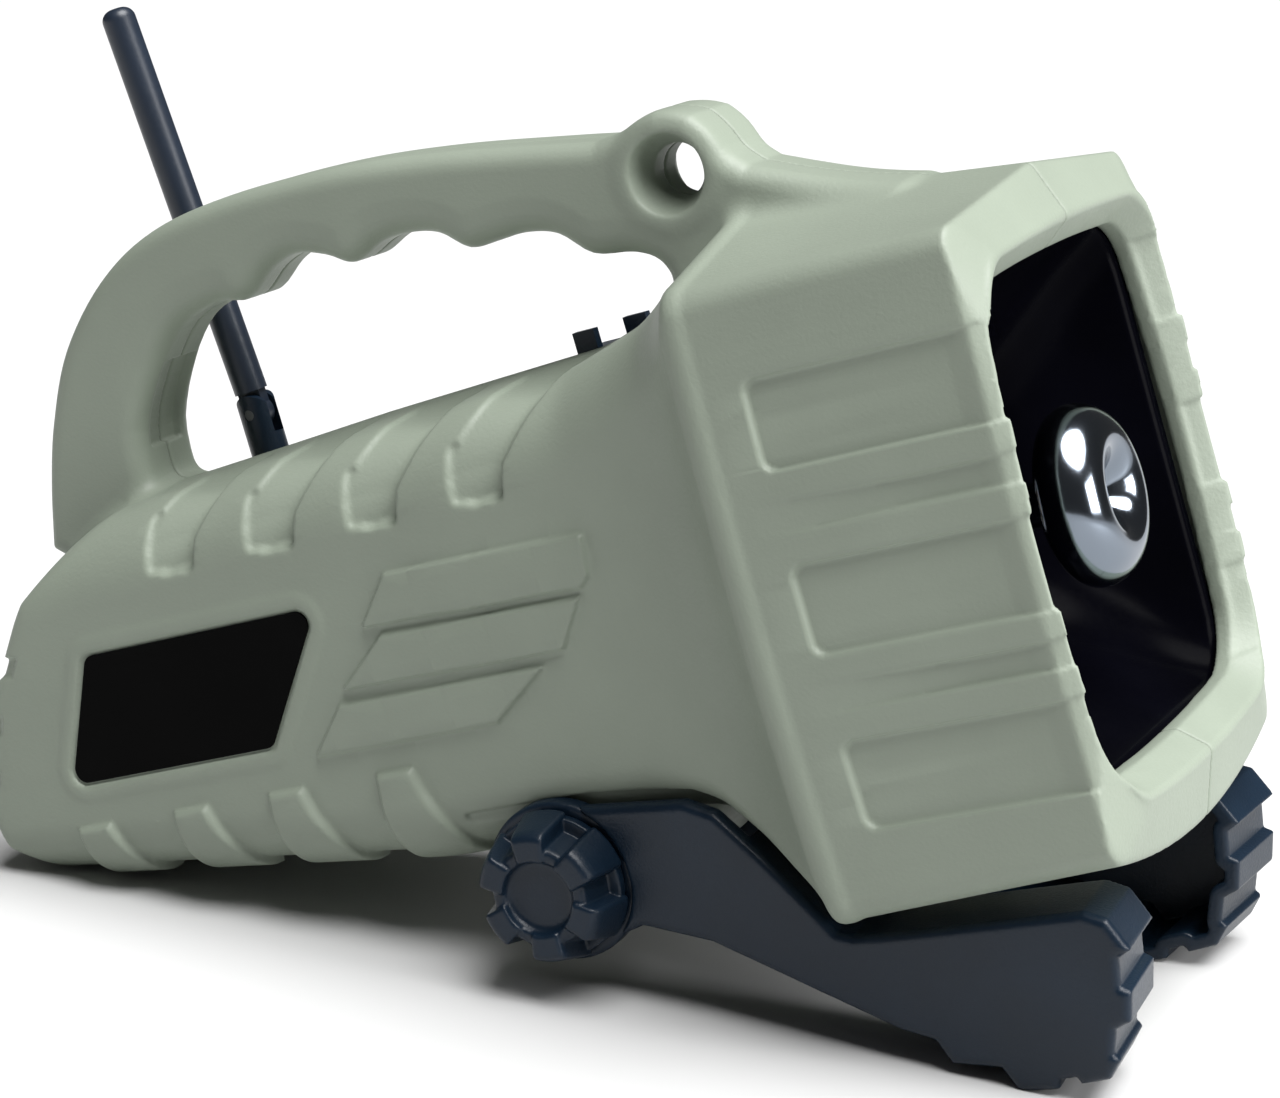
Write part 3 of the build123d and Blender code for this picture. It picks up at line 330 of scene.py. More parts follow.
def section(g, stations, blur):
    """Field of a hull through stations across x: bowed sides, a low roof and a low keel."""
    half, top, ridge, bottom, keel, bow, r_top, r_bottom = [
        along(g.x, stations, column, blur) for column in range(1, 9)]
    step = g.step

    def slope(a):
        return np.gradient(a.ravel(), step).reshape(a.shape)

    middle, reach = (top + bottom) / 2, (top - bottom) / 2
    side = g.y - half - bow * (1 - np.clip((g.z - middle) / reach, -1.2, 1.2) ** 2)
    side = side / np.sqrt(1 + slope(half) ** 2)
    fall = (ridge - top) / half
    roof = (g.z - ridge + fall * g.y) / np.sqrt(1 + fall ** 2 + slope(ridge) ** 2)
    rise = (bottom - keel) / half ** 2
    floor = (keel + rise * g.y ** 2 - g.z) / np.sqrt(1 + (2 * rise * g.y) ** 2 + slope(keel) ** 2)
    return round_cut(round_cut(side, roof, r_top), floor, r_bottom), side


def round_box(a, b, half_a, half_b, radius):
    """Distance to a rectangle with rounded corners, centred on a = b = 0."""
    p = np.abs(a) - half_a + radius
    q = np.abs(b) - half_b + radius
    return np.minimum(np.maximum(p, q), 0) + np.hypot(np.maximum(p, 0), np.maximum(q, 0)) - radius


def mouth_field(y, z):
    """The bowed opening of the mouth, seen from the front."""
    side = np.abs(y) - MOUTH_HALF_WIDTH - MOUTH_BOW * (1 - np.clip(z / 47.5, -1.2, 1.2) ** 2)
    roof = z - MOUTH_HALF_HEIGHT + 1.5 * (y / MOUTH_HALF_WIDTH) ** 2
    floor = -z - MOUTH_HALF_HEIGHT + 2.0 * (y / MOUTH_HALF_WIDTH) ** 2
    return round_cut(round_cut(side, roof, 8.0), floor, 11.0)


def inset(points, depth):
    """A convex outline moved in by depth."""
    middle = np.mean(points, axis=0)
    lines = []
    for (x0, z0), (x1, z1) in zip(points, points[1:] + points[:1]):
        normal = np.array([z1 - z0, x0 - x1]) / math.hypot(x1 - x0, z1 - z0)
        offset = normal @ np.array([x0, z0])
        if normal @ middle > offset:
            normal, offset = -normal, -offset
        lines.append((normal, offset - depth))
    out = []
    for (n0, c0), (n1, c1) in zip(lines[-1:] + lines[:-1], lines):
        out.append(tuple(float(v) for v in np.linalg.solve(np.array([n0, n1]), np.array([c0, c1]))))
    return out


def keel_line(x):
    """Height of the body's underside where the battery door is."""
    (rear_x, rear_z), (front_x, front_z) = DOOR_LINE
    return front_z + (x - front_x) * (rear_z - front_z) / (rear_x - front_x)


def body_reliefs(g, body, rear):
    """Shoulder grooves, lower pads, slanted bars, the label's recess and the rear notches."""
    x, y, z = g.x, g.y, g.z
    side_only = np.clip((y - 24) / 4, 0, 1)
    for foot in GROOVES:
        spine = [(foot + 1.2, 35.0), (foot + 3.0, 38.5), (foot + 9.5, 47.0),
                 (foot + 17, 55), (foot + 26, 66)]
        pocket = line(x, z, spine) - GROOVE_HALF
        pocket = np.minimum(pocket, polygon(x, z, [(foot - 3.0, 31.6), (foot + 5.6, 30.8),
                                                   (foot + 7.4, 40), (foot - 2.6, 40)]) - 2.4)
        lean = np.clip(0.72 + (x - (foot + 1.2 + np.maximum(z - 36, 0) * 0.78)) / 15, 0.3, 1)
        inboard = np.clip((y - 5) / 6, 0, 1)
        body = body + GROOVE_DEPTH * ramp(pocket, 1.9) * lean * inboard
    for centre in PADS:
        pad = polygon(x, z, [(centre - 5.0, -20), (centre + 5.0, -20), (centre + 6.6, -26),
                             (centre + 13, -42), (centre + 14, -60), (centre - 6.5, -60),
                             (centre - 6, -30)])
        body = body - PAD_HEIGHT * ramp(pad, 1.6) * np.clip((y - 15) / 2, 0, 1)
    for points in BARS:
        body = body - BAR_HEIGHT * ramp(polygon(x, z, points) - 0.4, 0.6) * side_only
    plate = polygon(x, z, inset(LABEL, LABEL_ROUND)) - LABEL_ROUND
    swell = 0.4 * ramp(plate - 4.6, 2.0)
    body = body - swell * side_only + LABEL_DEPTH * ramp(plate - 0.8, 0.7) * side_only
    for height in NOTCHES:
        notch = np.maximum(np.abs(z - height) - NOTCH_HALF, -(rear + 4.5))
        body = body + NOTCH_DEPTH * ramp(notch, 0.8) * np.clip((y - 22) / 3, 0, 1)
    return body


def horn_reliefs(g, horn, horn_side):
    """Recessed panels and shallow channels in the side of the horn."""
    x, y, z = g.x, g.y, g.z
    for centre in PANELS:
        low, high = centre - PANEL_HALF + 3, centre + PANEL_HALF - 3
        panel = polygon(x, z, [(-43, low), (-40, low), (9, low), (9, high), (-43, high)]) - 3
        depth = PANEL_DEPTH - 0.85 * np.clip((x + 5) / 6, 0, 1)
        panel = panel + np.clip(-horn_side - 0.3, 0, 2) * 0.5
        horn = np.maximum(horn, -np.maximum(panel, -horn_side - depth))
    for centre in CHANNELS:
        depth = CHANNEL_DEPTH * np.clip((x + 50) / 34, 0, 1) - 0.75 * np.clip((x + 5) / 6, 0, 1)
        channel = np.maximum(np.abs(z - centre) - CHANNEL_HALF, -50 - x)
        channel = channel + np.clip(-horn_side, 0, 2) * 0.5
        horn = np.maximum(horn, -np.maximum(channel, -horn_side - depth))
    return horn


def handle_and_lug(g):
    """Field of the carry handle and the lug, with the hand opening cut out."""
    x, y, z = g.x, g.y, g.z
    handle = polygon(x, z, curve(HANDLE) + LUG_EDGE)
    opening = polygon(x, z, curve(OPENING, 4))
    handle = round_cut(handle, -opening, 1.0)
    scoop = np.clip((opening - 0.5) / 7, 0, 1)
    high = np.clip((z - 62) / 10, 0, 1)
    ring = round_cut(handle, y - HANDLE_HALF + 1.2 * (1 - scoop) * high, HANDLE_ROUND)
    channel_in = polygon(x, z, [(-207, 54), (-198, 70), (-204, 76), (-217, 70), (-214, 54)])
    ring = ring + 1.6 * ramp(np.maximum(channel_in, y - 6.2), 0.8) * ramp(opening - 6, 1.0)
    eye = np.hypot(x - LUG[0], z - LUG[1])
    return soft_join(ring, round_cut(eye - LUG_RADIUS, y - LUG_HALF, 2.2), 2.5)


def mouth_cut(g):
    """Field of the mouth's opening, stepped where the panels reach its bevel."""
    x, y, z = g.x, g.y, g.z
    grow = BEVEL_SLOPE * np.maximum(x - BEVEL_START, 0)
    bands = np.minimum.reduce([np.abs(z - centre) - PANEL_HALF for centre in PANELS])
    grow = grow + 0.55 * ramp(bands, 0.7) * np.clip((x + 2) / 1.5, 0, 1) * (y > 30)
    stretch = np.where(x > BEVEL_START, BEVEL_STRETCH, 1)
    return np.maximum((mouth_field(y, z) - grow) / stretch, -6.5 - x)


def door_bay(g, shell):
    """The shell with the battery door's opening and its hinge knuckle."""
    x, y, z = g.x, g.y, g.z
    door_rear, door_front, door_half = DOOR
    bay = np.maximum(np.abs(z - keel_line(x) - 2) - 7.5, y - door_half - 0.5)
    bay_middle, bay_half = (door_rear + door_front + 2) / 2, (door_front - door_rear + 3.2) / 2
    shell = np.maximum(shell, -np.maximum(bay, np.abs(x - bay_middle) - bay_half))
    hinge = np.hypot(x - door_front, z - keel_line(door_front) - HINGE_RADIUS)
    shell = np.minimum(shell, np.maximum(hinge - HINGE_RADIUS, np.abs(y - 16.8) - 2.2))
    return shell


def panel_bay(g, shell):
    """The shell with the rear panel's recess and the hole behind it."""
    x, y, z = g.x, g.y, g.z
    back_x, back_z, tilt = CONTROLS
    out = -(x - back_x) * math.cos(tilt) + (z - back_z) * math.sin(tilt)
    up = (x - back_x) * math.sin(tilt) + (z - back_z) * math.cos(tilt)
    shell = np.maximum(shell, -np.maximum(round_box(y, up, 22.1, 9.1, 3.1), -out - 2.0))
    shell = np.maximum(shell, -np.maximum(round_box(y, up, 19, 6.5, 2), -out - 9.0))
    return shell


def case_field(g):
    """Half of the case, for positive y, before the features of one side only.

    Gives the field of the shell and that of the body without its reliefs.
    """
    x, y, z = g.x, g.y, g.z
    body = section(g, BODY, 2.6)[0]
    rear = polygon(x, z, REAR)
    body = round_cut(body, rear, 3.4)
    body = np.maximum(body, x - BODY_FRONT)
    horn, horn_side = section(g, HORN + [RIM], 0.45)
    body = round_cut(body, horn, 1.2)
    horn = np.maximum(round_cut(horn, HORN_REAR - x, 1.5), x - LIP_FRONT)
    hollow = np.maximum(section(g, HORN, 1)[0] + WALL, x - LIP_REAR)
    hollow = np.maximum(hollow, PARTITION - x)
    hollow = np.minimum(hollow, np.maximum(body + BODY_WALL, x - PARTITION))
    driver_hole = np.maximum(np.hypot(y, z) - DRIVER_HOLE, np.abs(x - PARTITION + 2.0) - 4.0)
    hollow = np.minimum(hollow, driver_hole)
    plain_body = body
    shell = soft_join(body_reliefs(g, body, rear), horn_reliefs(g, horn, horn_side), 2.0)
    shell = soft_join(shell, handle_and_lug(g), 5.0)

    # the leg's well and boss
    hub = np.hypot(x - PIVOT[0], z - PIVOT[1])
    well = polygon(x, z, WELL)
    shell = np.maximum(shell, -np.maximum(well, BOSS_END + 0.1 - y))
    shell = np.minimum(shell, round_cut(hub - BOSS_RADIUS, y - BOSS_END, 0.5))
    hollow = np.maximum(hollow, -np.maximum(well - 3, 30.6 - y))
    hollow = np.maximum(hollow, -(hub - BOSS_RADIUS))

    # everything that is cut out
    shell = np.maximum(shell, -hollow)
    shell = round_cut(shell, -mouth_cut(g), 0.5)
    funnel = np.hypot(x - LUG[0], z - LUG[1]) - EYE_RADIUS
    funnel = funnel - np.clip((y - 5.0) * FUNNEL_SLOPE, 0, 5)
    shell = round_cut(shell, -funnel, 0.5)
    shell = np.maximum(shell, AXLE_RADIUS - hub)
    shell = panel_bay(g, door_bay(g, shell))
    above_ground = x * SIN + z * COS + SHIFT_Z
    return np.maximum(shell, -above_ground), plain_body


def left_only(g, shell, plain_body):
    """The antenna's seat, the pad under its clip and the screw pockets."""
    pad = np.maximum(np.abs(g.x - CLIP_X) - 8.2, np.abs(g.y - MAST[1]) - 8.4)
    skin = np.maximum(plain_body, -plain_body - 4.0)
    shell = np.minimum(shell, round_cut(skin, pad, 1.5))
    seat = np.maximum(np.hypot(g.x - MAST[0], g.y - MAST[1]) - 6.45, 40.5 - g.z)
    shell = np.maximum(shell, -seat)
    for x, z, tip in SCREWS:
        pocket = np.hypot(g.x - x, g.z - z) - SCREW_POCKET
        shell = np.maximum(shell, -np.maximum(pocket, tip - 4 - g.y))
    return shell


def build_shells():
    """Both halves of the case."""
    step = 0.62
    g = Grid((-269, -1.5, -68), (6, 57, 104), step)
    field, plain_body = case_field(g)
    made = []
    for name, sign in (("right_case", -1), ("left_case", 1)):
        shape = left_only(g, field, plain_body) if sign > 0 else field
        shape = round_cut(shape, 0.1 - g.y, 0.5)
        vertices, faces = surface(g, shape)
        if sign < 0:
            vertices, faces = mirrored(vertices, faces)
        shell = mesh_object(name.replace("case", "shell"), vertices, faces)
        thin_out(shell, SHELL_TRIANGLES)
        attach(shell, "case")
        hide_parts(name)
        made.append(shell)
    return made


# ---- legs ---------------------------------------------------------------------------------------
LEG = [(-113, -34.4), (-88.5, -36.4), (-82, -39.6), (-74, -49.8), (-66, -61.2),
       (-62.6, -66.4), (-59, -67.6), (-53, -67.9), (-46, -68.1), (-9.7, -68.5), (-5.3, -70.6),
       (-2.3, -77.0), (-5.1, -78.2), (-6.1, -83.6), (-4.3, -84.8), (-6.1, -90.8), (-9.5, -91.8),
       (-11.3, -96.6), (-10.3, -97.8), (-13.5, -101.4), (-19.6, -101.8), (-20.4, -100.3),
       (-23.6, -100.5), (-24.6, -102.4), (-33, -102.0), (-35.4, -97.0), (-45.6, -95.2),
       (-47.8, -90.2), (-54.6, -87.4), (-91, -65.3), (-106, -60.2), (-121.8, -64.0),
       (-137.0, -48.6), (-121.8, -33.2)]
LEG_SPLAY = math.radians(5.5)
LEG_ARM_END = -77.0                      # behind this the leg is a plate, ahead of it a hollow foot
LEG_PLATE, LEG_DEPTH, LEG_WALL = 4.4, 21.5, 3.0
HUB_OUTER, HUB_INNER, HUB_RADIUS = 39.0, 34.6, 16.0
AXLE_FIT = 3.05                          # radius of the holes that turn on the axle
KNOB_HEIGHT = 11.1


def build_leg(name, sign):
    """One leg in its own straight frame: y is the depth in from its outer face."""
    step = 0.5
    g = Grid((-140, -1.5, -105), (0, 24, -30), step)
    x, y, z = g.x, g.y, g.z
    plan = polygon(x, z, LEG)
    hub = np.hypot(x - PIVOT[0], z - PIVOT[1])
    outer = round_cut(plan, -y, 1.9)
    deep = np.where(x < LEG_ARM_END, LEG_PLATE + 0 * x, LEG_DEPTH)
    outer = round_cut(outer, y - deep, 0.7)
    inner = np.maximum(plan + LEG_WALL, LEG_WALL - y)
    solid = np.maximum(outer, -inner)
    solid = np.maximum(solid, -(hub - HUB_RADIUS - 0.3))
    vertices, faces = surface(g, solid)
    dx, dy = vertices[:, 0] - PIVOT[0], vertices[:, 1]
    c, s = math.cos(LEG_SPLAY), math.sin(LEG_SPLAY)
    level = vertices.copy()
    level[:, 0] = PIVOT[0] + dx * c - dy * s
    level[:, 1] = -(HUB_OUTER - dy * c) - dx * s
    small = Grid((-139.5, 33.5, -67), (-104, 40, -31), step)
    disc = np.hypot(small.x - PIVOT[0], small.z - PIVOT[1])
    ring = round_cut(disc - HUB_RADIUS - 0.6, small.y - HUB_OUTER, 1.0)
    ring = round_cut(ring, HUB_INNER - small.y, 0.5)
    ring = np.maximum(ring, AXLE_FIT - disc)
    hub_vertices, hub_faces = surface(small, ring)
    hub_vertices, hub_faces = mirrored(hub_vertices, hub_faces)
    points = np.concatenate([level, hub_vertices])
    quads = np.concatenate([faces, hub_faces + len(level)])
    if sign > 0:
        points, quads = mirrored(points, quads)
    points[:, 2] = np.maximum(points[:, 2], (0.02 - SHIFT_Z - points[:, 0] * SIN) / COS)
    leg = mesh_object(name, points, quads)
    thin_out(leg, LEG_TRIANGLES)
    return leg


def build_knob(name, sign):
    """Clamp knob with six raised lobes round a dished face; h is the height from its back."""
    g = Grid((-17, -0.8, -17), (17, KNOB_HEIGHT + 0.8, 17), 0.34)
    x, h, z = g.x, g.y, g.z
    r = np.hypot(x, z)
    angle = np.arctan2(z, x)
    turn = (angle / (math.pi / 3) + 0.1) % 1.0 - 0.5
    across = np.abs(turn) * (math.pi / 3) * np.maximum(r, 1)
    base = round_cut(round_cut(r - 14.6, h - 2.4, 0.5), -h, 0.4)
    core = round_cut(r - 12.6 + 0.24 * h, h - KNOB_HEIGHT + 0.9, 1.0)
    lobe = round_cut(r - 16.0 + 0.26 * h, across - 4.6 + 0.1 * h - 0.12 * (r - 12), 0.7)
    bevel = (r + (h - KNOB_HEIGHT) * 0.9 - 12.4) * 0.75
    lobe = round_cut(round_cut(lobe, h - KNOB_HEIGHT, 0.8), bevel, 0.6)
    lobe = np.maximum(lobe, 1.0 - h)
    shape = np.minimum(soft_join(core, lobe, 0.6), base)
    dish = round_cut(r - 7.6, KNOB_HEIGHT - 2.6 - h, 1.6)
    shape = round_cut(shape, -dish, 0.8)
    shape = np.maximum(shape, -np.maximum(r - AXLE_FIT, h - KNOB_HEIGHT + 4.4))
    vertices, faces = surface(g, shape)
    points = vertices.copy()
    points[:, 0] += PIVOT[0]
    points[:, 2] += PIVOT[1]
    points[:, 1] = HUB_OUTER + 0.3 + vertices[:, 1]
    if sign < 0:
        points[:, 1] *= -1
        faces = faces[:, ::-1]
    return mesh_object(name, points, faces)


# ---- horn and plug ------------------------------------------------------------------------------
HORN_SKIN = 2.2
AROUND = 96                              # points round each ring of the horn and the plug
# radius and x, from the middle of the plug's dimple round to the rear end of its stem
PLUG = [(0.0, -8.2), (2.0, -6.0), (4.6, -2.6), (7.4, 0.1), (10.4, 1.3), (13.6, 0.6), (16.5, -1.8),
        (18.2, -5.6), (17.6, -9.0), (15.2, -11.4), (11.0, -12.5), (5.0, -13.0), (5.0, -59.8)]
VANE_REAR, VANE_FRONT, VANE_HALF = -59.8, -45.8, 0.9
VANE_FACES = [(0, 1, 3, 2), (4, 6, 7, 5), (0, 4, 5, 1), (2, 3, 7, 6), (0, 2, 6, 4), (1, 5, 7, 3)]


def loop(half_y, half_z, radius):
    """Points of a rounded rectangle, evenly spread by angle."""
    points = []
    for index in range(AROUND):
        a = 2 * math.pi * (index + 0.5) / AROUND
        dy, dz = math.cos(a), math.sin(a)
        low, high = 0.0, 2 * max(half_y, half_z)
        for again in range(26):
            t = (low + high) / 2
            p, q = abs(t * dy) - half_y + radius, abs(t * dz) - half_z + radius
            d = min(max(p, q), 0) + math.hypot(max(p, 0), max(q, 0)) - radius
            low, high = (t, high) if d < 0 else (low, t)
        points.append((t * dy, t * dz))
    return points


def build_horn():
    """Flared square horn: an inner and an outer skin and a flange at the mouth."""
    stations = [(-60.0, 15.0, 15.0, 14.8), (-44.0, 19.5, 19.8, 16.0), (-28.0, 29.0, 30.0, 16.0),
                (-14.0, 40.0, 42.5, 12.0), (-5.1, 45.4, 48.4, 8.0)]
    fine = []
    xs = [s[0] for s in stations]
    for step in range(41):
        x = xs[0] + (xs[-1] - xs[0]) * step / 40
        row = [x]
        for column in (1, 2, 3):
            pts = curve([(s[0], s[column]) for s in stations], 12)
            row.append(float(np.interp(x, [p[0] for p in pts], [p[1] for p in pts])))
        fine.append(row)
    rings = [(x, a, b, c) for x, a, b, c in fine]
    rings += [(-5.1, 48.5, 52.4, 9.0), (-8.1, 48.5, 52.4, 9.0)]
    rings += [(x, a + HORN_SKIN, b + HORN_SKIN, c + HORN_SKIN)
              for x, a, b, c in reversed(fine) if -56 < x < -8.2]
    rings += [(-56.5, 24.0, 24.0, 23.9), (-60.0, 24.0, 24.0, 23.9)]
    vertices, faces = [], []
    for x, a, b, c in rings:
        vertices += [(x, y, z) for y, z in loop(a, b, min(c, a - 0.05, b - 0.05))]
    total = len(rings)
    for i in range(total):
        here, there = i * AROUND, (i + 1) % total * AROUND
        for j in range(AROUND):
            k = (j + 1) % AROUND
            faces.append((here + j, here + k, there + k, there + j))
    return mesh_object("horn", vertices, np.array(faces))


def build_plug():
    """Dimpled reflector on its stem, with three vanes at the throat."""
    profile = curve(PLUG, 14)
    vertices = [(profile[0][1], 0, 0)]
    faces = []
    for r, x in profile[1:]:
        for j in range(AROUND):
            a = 2 * math.pi * j / AROUND
            vertices.append((x, r * math.cos(a), r * math.sin(a)))
    rings = len(profile) - 1
    for j in range(AROUND):
        faces.append((0, 1 + (j + 1) % AROUND, 1 + j))
    for i in range(rings - 1):
        here, there = 1 + i * AROUND, 1 + (i + 1) * AROUND
        for j in range(AROUND):
            k = (j + 1) % AROUND
            faces.append((here + j, here + k, there + k, there + j))
    faces.append(tuple(1 + (rings - 1) * AROUND + j for j in range(AROUND)))
    for angle in (90, 210, 330):
        a = math.radians(angle)
        base = len(vertices)
        for x, tip in ((VANE_REAR, 14.2), (VANE_FRONT, 10.0)):
            for r in (4.6, tip):
                for side in (-VANE_HALF, VANE_HALF):
                    vertices.append((x, r * math.cos(a) - side * math.sin(a),
                                     r * math.sin(a) + side * math.cos(a)))
        for quad in VANE_FACES:
            faces.append(tuple(base + q for q in quad))
    return mesh_object("reflector", vertices, faces)


# ---- materials ----------------------------------------------------------------------------------
COAT_ROUGHNESS = 0.1
BLOTCH_SCALE = 38.0
GRAIN_HEIGHT = 0.0002                    # metres


def material(name, colour, rough, vary=0.06, bump=0.25, grain=900.0, metallic=0.0, coat=0.0,
             specular=0.5, rough_vary=0.08):
    """Procedural finish: soft blotches of colour, and fine grain in the roughness and the bump."""
    mat = bpy.data.materials.new(name)
    mat.use_nodes = True
    nodes, links = mat.node_tree.nodes, mat.node_tree.links
    shader = nodes["Principled BSDF"]
    shader.inputs["Metallic"].default_value = metallic
    shader.inputs["Coat Weight"].default_value = coat
    shader.inputs["Coat Roughness"].default_value = COAT_ROUGHNESS
    shader.inputs["Specular IOR Level"].default_value = specular
    place = nodes.new("ShaderNodeTexCoord")
    blotch = nodes.new("ShaderNodeTexNoise")
    blotch.inputs["Scale"].default_value = BLOTCH_SCALE
    blotch.inputs["Detail"].default_value = 5.0
    links.new(place.outputs["Object"], blotch.inputs["Vector"])
    tint = nodes.new("ShaderNodeValToRGB")
    tint.color_ramp.elements[0].position = 0.3
    tint.color_ramp.elements[1].position = 0.72
    tint.color_ramp.elements[0].color = tuple(max(c * (1 - vary), 0) for c in colour) + (1,)
    tint.color_ramp.elements[1].color = tuple(min(c * (1 + vary), 1) for c in colour) + (1,)
    links.new(blotch.outputs["Fac"], tint.inputs["Fac"])
    links.new(tint.outputs["Color"], shader.inputs["Base Color"])
    fine = nodes.new("ShaderNodeTexNoise")
    fine.inputs["Scale"].default_value = grain
    fine.inputs["Detail"].default_value = 3.0
    links.new(place.outputs["Object"], fine.inputs["Vector"])
    wear = nodes.new("ShaderNodeMapRange")
    wear.inputs["To Min"].default_value = max(rough - rough_vary, 0.02)
    wear.inputs["To Max"].default_value = min(rough + rough_vary, 1.0)
    links.new(fine.outputs["Fac"], wear.inputs["Value"])
    links.new(wear.outputs["Result"], shader.inputs["Roughness"])
    relief = nodes.new("ShaderNodeBump")
    relief.inputs["Strength"].default_value = bump
    relief.inputs["Distance"].default_value = GRAIN_HEIGHT
    links.new(fine.outputs["Fac"], relief.inputs["Height"])
    links.new(relief.outputs["Normal"], shader.inputs["Normal"])
    return mat


FINISH = {
    "case_plastic": dict(colour=(0.228, 0.262, 0.212), rough=0.5, vary=0.035, bump=0.3,
                         grain=1300.0, specular=0.4),
    "black_plastic": dict(colour=(0.004, 0.011, 0.022), rough=0.36, vary=0.2, bump=0.35,
                          grain=1700.0, specular=0.3),
    "horn_black": dict(colour=(0.001, 0.001, 0.002), rough=0.22, vary=0.3, bump=0.03,
                       specular=0.01),
    "plug_black": dict(colour=(0.20, 0.23, 0.27), rough=0.13, vary=0.06, bump=0.01,
                       metallic=1.0, rough_vary=0.02),
    "label_black": dict(colour=(0.001, 0.001, 0.001), rough=0.4, vary=0.3, bump=0.03,
                        specular=0.03),
    "antenna_sleeve": dict(colour=(0.010, 0.016, 0.028), rough=0.38, vary=0.2, bump=0.15),
    "rubber": dict(colour=(0.02, 0.02, 0.022), rough=0.75, vary=0.2, bump=0.4),
    "cast_alloy": dict(colour=(0.62, 0.63, 0.65), rough=0.45, bump=0.4, metallic=1.0),
    "diaphragm": dict(colour=(0.45, 0.33, 0.18), rough=0.4, bump=0.1),
    "magnet_steel": dict(colour=(0.2, 0.21, 0.22), rough=0.4, bump=0.2, metallic=0.9),
    "driver_cap_plastic": dict(colour=(0.05, 0.05, 0.05), rough=0.5, bump=0.3),
    "dark_steel": dict(colour=(0.14, 0.14, 0.15), rough=0.35, bump=0.15, metallic=1.0),
    "steel": dict(colour=(0.65, 0.66, 0.68), rough=0.28, bump=0.12, metallic=1.0),
    "contact_metal": dict(colour=(0.72, 0.71, 0.66), rough=0.3, bump=0.1, metallic=1.0),
    "board_green": dict(colour=(0.02, 0.16, 0.07), rough=0.35, vary=0.15, bump=0.15, coat=0.4),
    "component_black": dict(colour=(0.03, 0.03, 0.03), rough=0.5, vary=0.2, bump=0.2),
    "cell_wrap": dict(colour=(0.1, 0.11, 0.12), rough=0.25, vary=0.1, bump=0.05, coat=0.3),
    "lead_sleeve": dict(colour=(0.45, 0.03, 0.03), rough=0.4, vary=0.1, bump=0.1),
    "lens": dict(colour=(0.6, 0.08, 0.05), rough=0.12, vary=0.1, bump=0.02, coat=0.6),
}
MATERIALS = {name: material(name, **values) for name, values in FINISH.items()}


def dress(thing, slot_name, bevel=0.0):
    """One material for the whole piece and, where asked, edges softened by bevel millimetres."""
    thing.data.materials.clear()
    thing.data.materials.append(MATERIALS[slot_name])
    if bevel:
        modifier = thing.modifiers.new("soft_edges", "BEVEL")
        modifier.width = bevel / 1000
        modifier.segments = 3
        modifier.limit_method = "ANGLE"
        modifier.angle_limit = math.radians(40)
        modifier.use_clamp_overlap = True


shells = build_shells()
for shell in shells:
    dress(shell, "case_plastic")
legs = [build_leg("right_leg_shell", -1), build_leg("left_leg_shell", 1)]
for leg, body in zip(legs, ("right_leg", "left_leg")):
    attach(leg, body)
    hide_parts(body)
    dress(leg, "black_plastic")
knobs = [build_knob("right_knob_shell", -1), build_knob("left_knob_shell", 1)]
for piece, body in zip(knobs, ("right_knob", "left_knob")):
    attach(piece, body)
    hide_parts(body)
    dress(piece, "black_plastic")
horn = build_horn()
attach(horn, "case")
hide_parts("horn_bell")
dress(horn, "horn_black")
plug = build_plug()
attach(plug, "case")
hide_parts("phase_plug")
dress(plug, "plug_black")

SLOTS = {
    "case_screws": "steel", "driver_gasket": "rubber", "driver_front": "cast_alloy",
    "driver_diaphragm": "diaphragm", "driver_magnet": "magnet_steel",
    "driver_cap": "driver_cap_plastic",
    "driver_screws": "steel", "main_board": "board_green", "board_parts": "component_black",
    "board_posts": "driver_cap_plastic", "battery_holder": "driver_cap_plastic",
    "battery_cells": "cell_wrap",
    "battery_contacts": "contact_metal", "speaker_leads": "lead_sleeve",
    "rear_panel": "black_plastic",
    "volume_control": "component_black", "volume_knob": "black_plastic", "push_button": "rubber",
    "button_switch": "component_black", "lamp_lens": "lens", "charge_port": "component_black",
    "port_cover": "rubber", "right_label": "label_black", "left_label": "label_black",
    "battery_door": "case_plastic", "door_hinge_pin": "steel", "antenna_base": "black_plastic",
    "antenna_pin": "dark_steel", "antenna_mast": "antenna_sleeve", "antenna_clip": "black_plastic",
    "leg_axle": "dark_steel", "leg_washers": "steel",
}
BEVELS = {
    "rear_panel": 0.4, "volume_knob": 0.4, "push_button": 0.3, "battery_door": 0.4,
    "antenna_base": 0.5, "antenna_clip": 0.6, "antenna_mast": 0.3, "port_cover": 0.3,
    "right_label": 0.25, "left_label": 0.25,
}
for node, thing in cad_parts.items():
    if node in SLOTS:
        dress(thing, SLOTS[node], BEVELS.get(node, 0.0))

# ---- floor, light, camera -----------------------------------------------------------------------
scene = bpy.context.scene
FLOOR_SIZE, FLOOR_SQUARES, FLOOR_DROP = 6.0, 24, 0.0002
FLOOR_GREY, FLOOR_ROUGHNESS = 0.52, 0.9
SUN_ENERGY, SUN_SPREAD = 6.8, math.radians(50)
SUN_AIM = Vector((-0.36, 0.05, -0.93))
KEY_PLACE, KEY_AIM = (1.1, -0.05, 0.4), (0.02, 0.0, 0.08)
KEY_SIZE, KEY_POWER = 0.45, 9.0
SKY_STRENGTH = 0.07                      # light from all round; the camera sees plain white
CAMERA_PLACE = (0.3146, -0.6424, 0.2717)
CAMERA_AIM = Vector((-0.4091, 0.8755, -0.2573))


def plain(name, colour, rough):
    """Material of one colour, for the floor only."""
    mat = bpy.data.materials.new(name)
    mat.use_nodes = True
    shader = mat.node_tree.nodes["Principled BSDF"]
    shader.inputs["Base Color"].default_value = colour
    shader.inputs["Roughness"].default_value = rough
    return mat


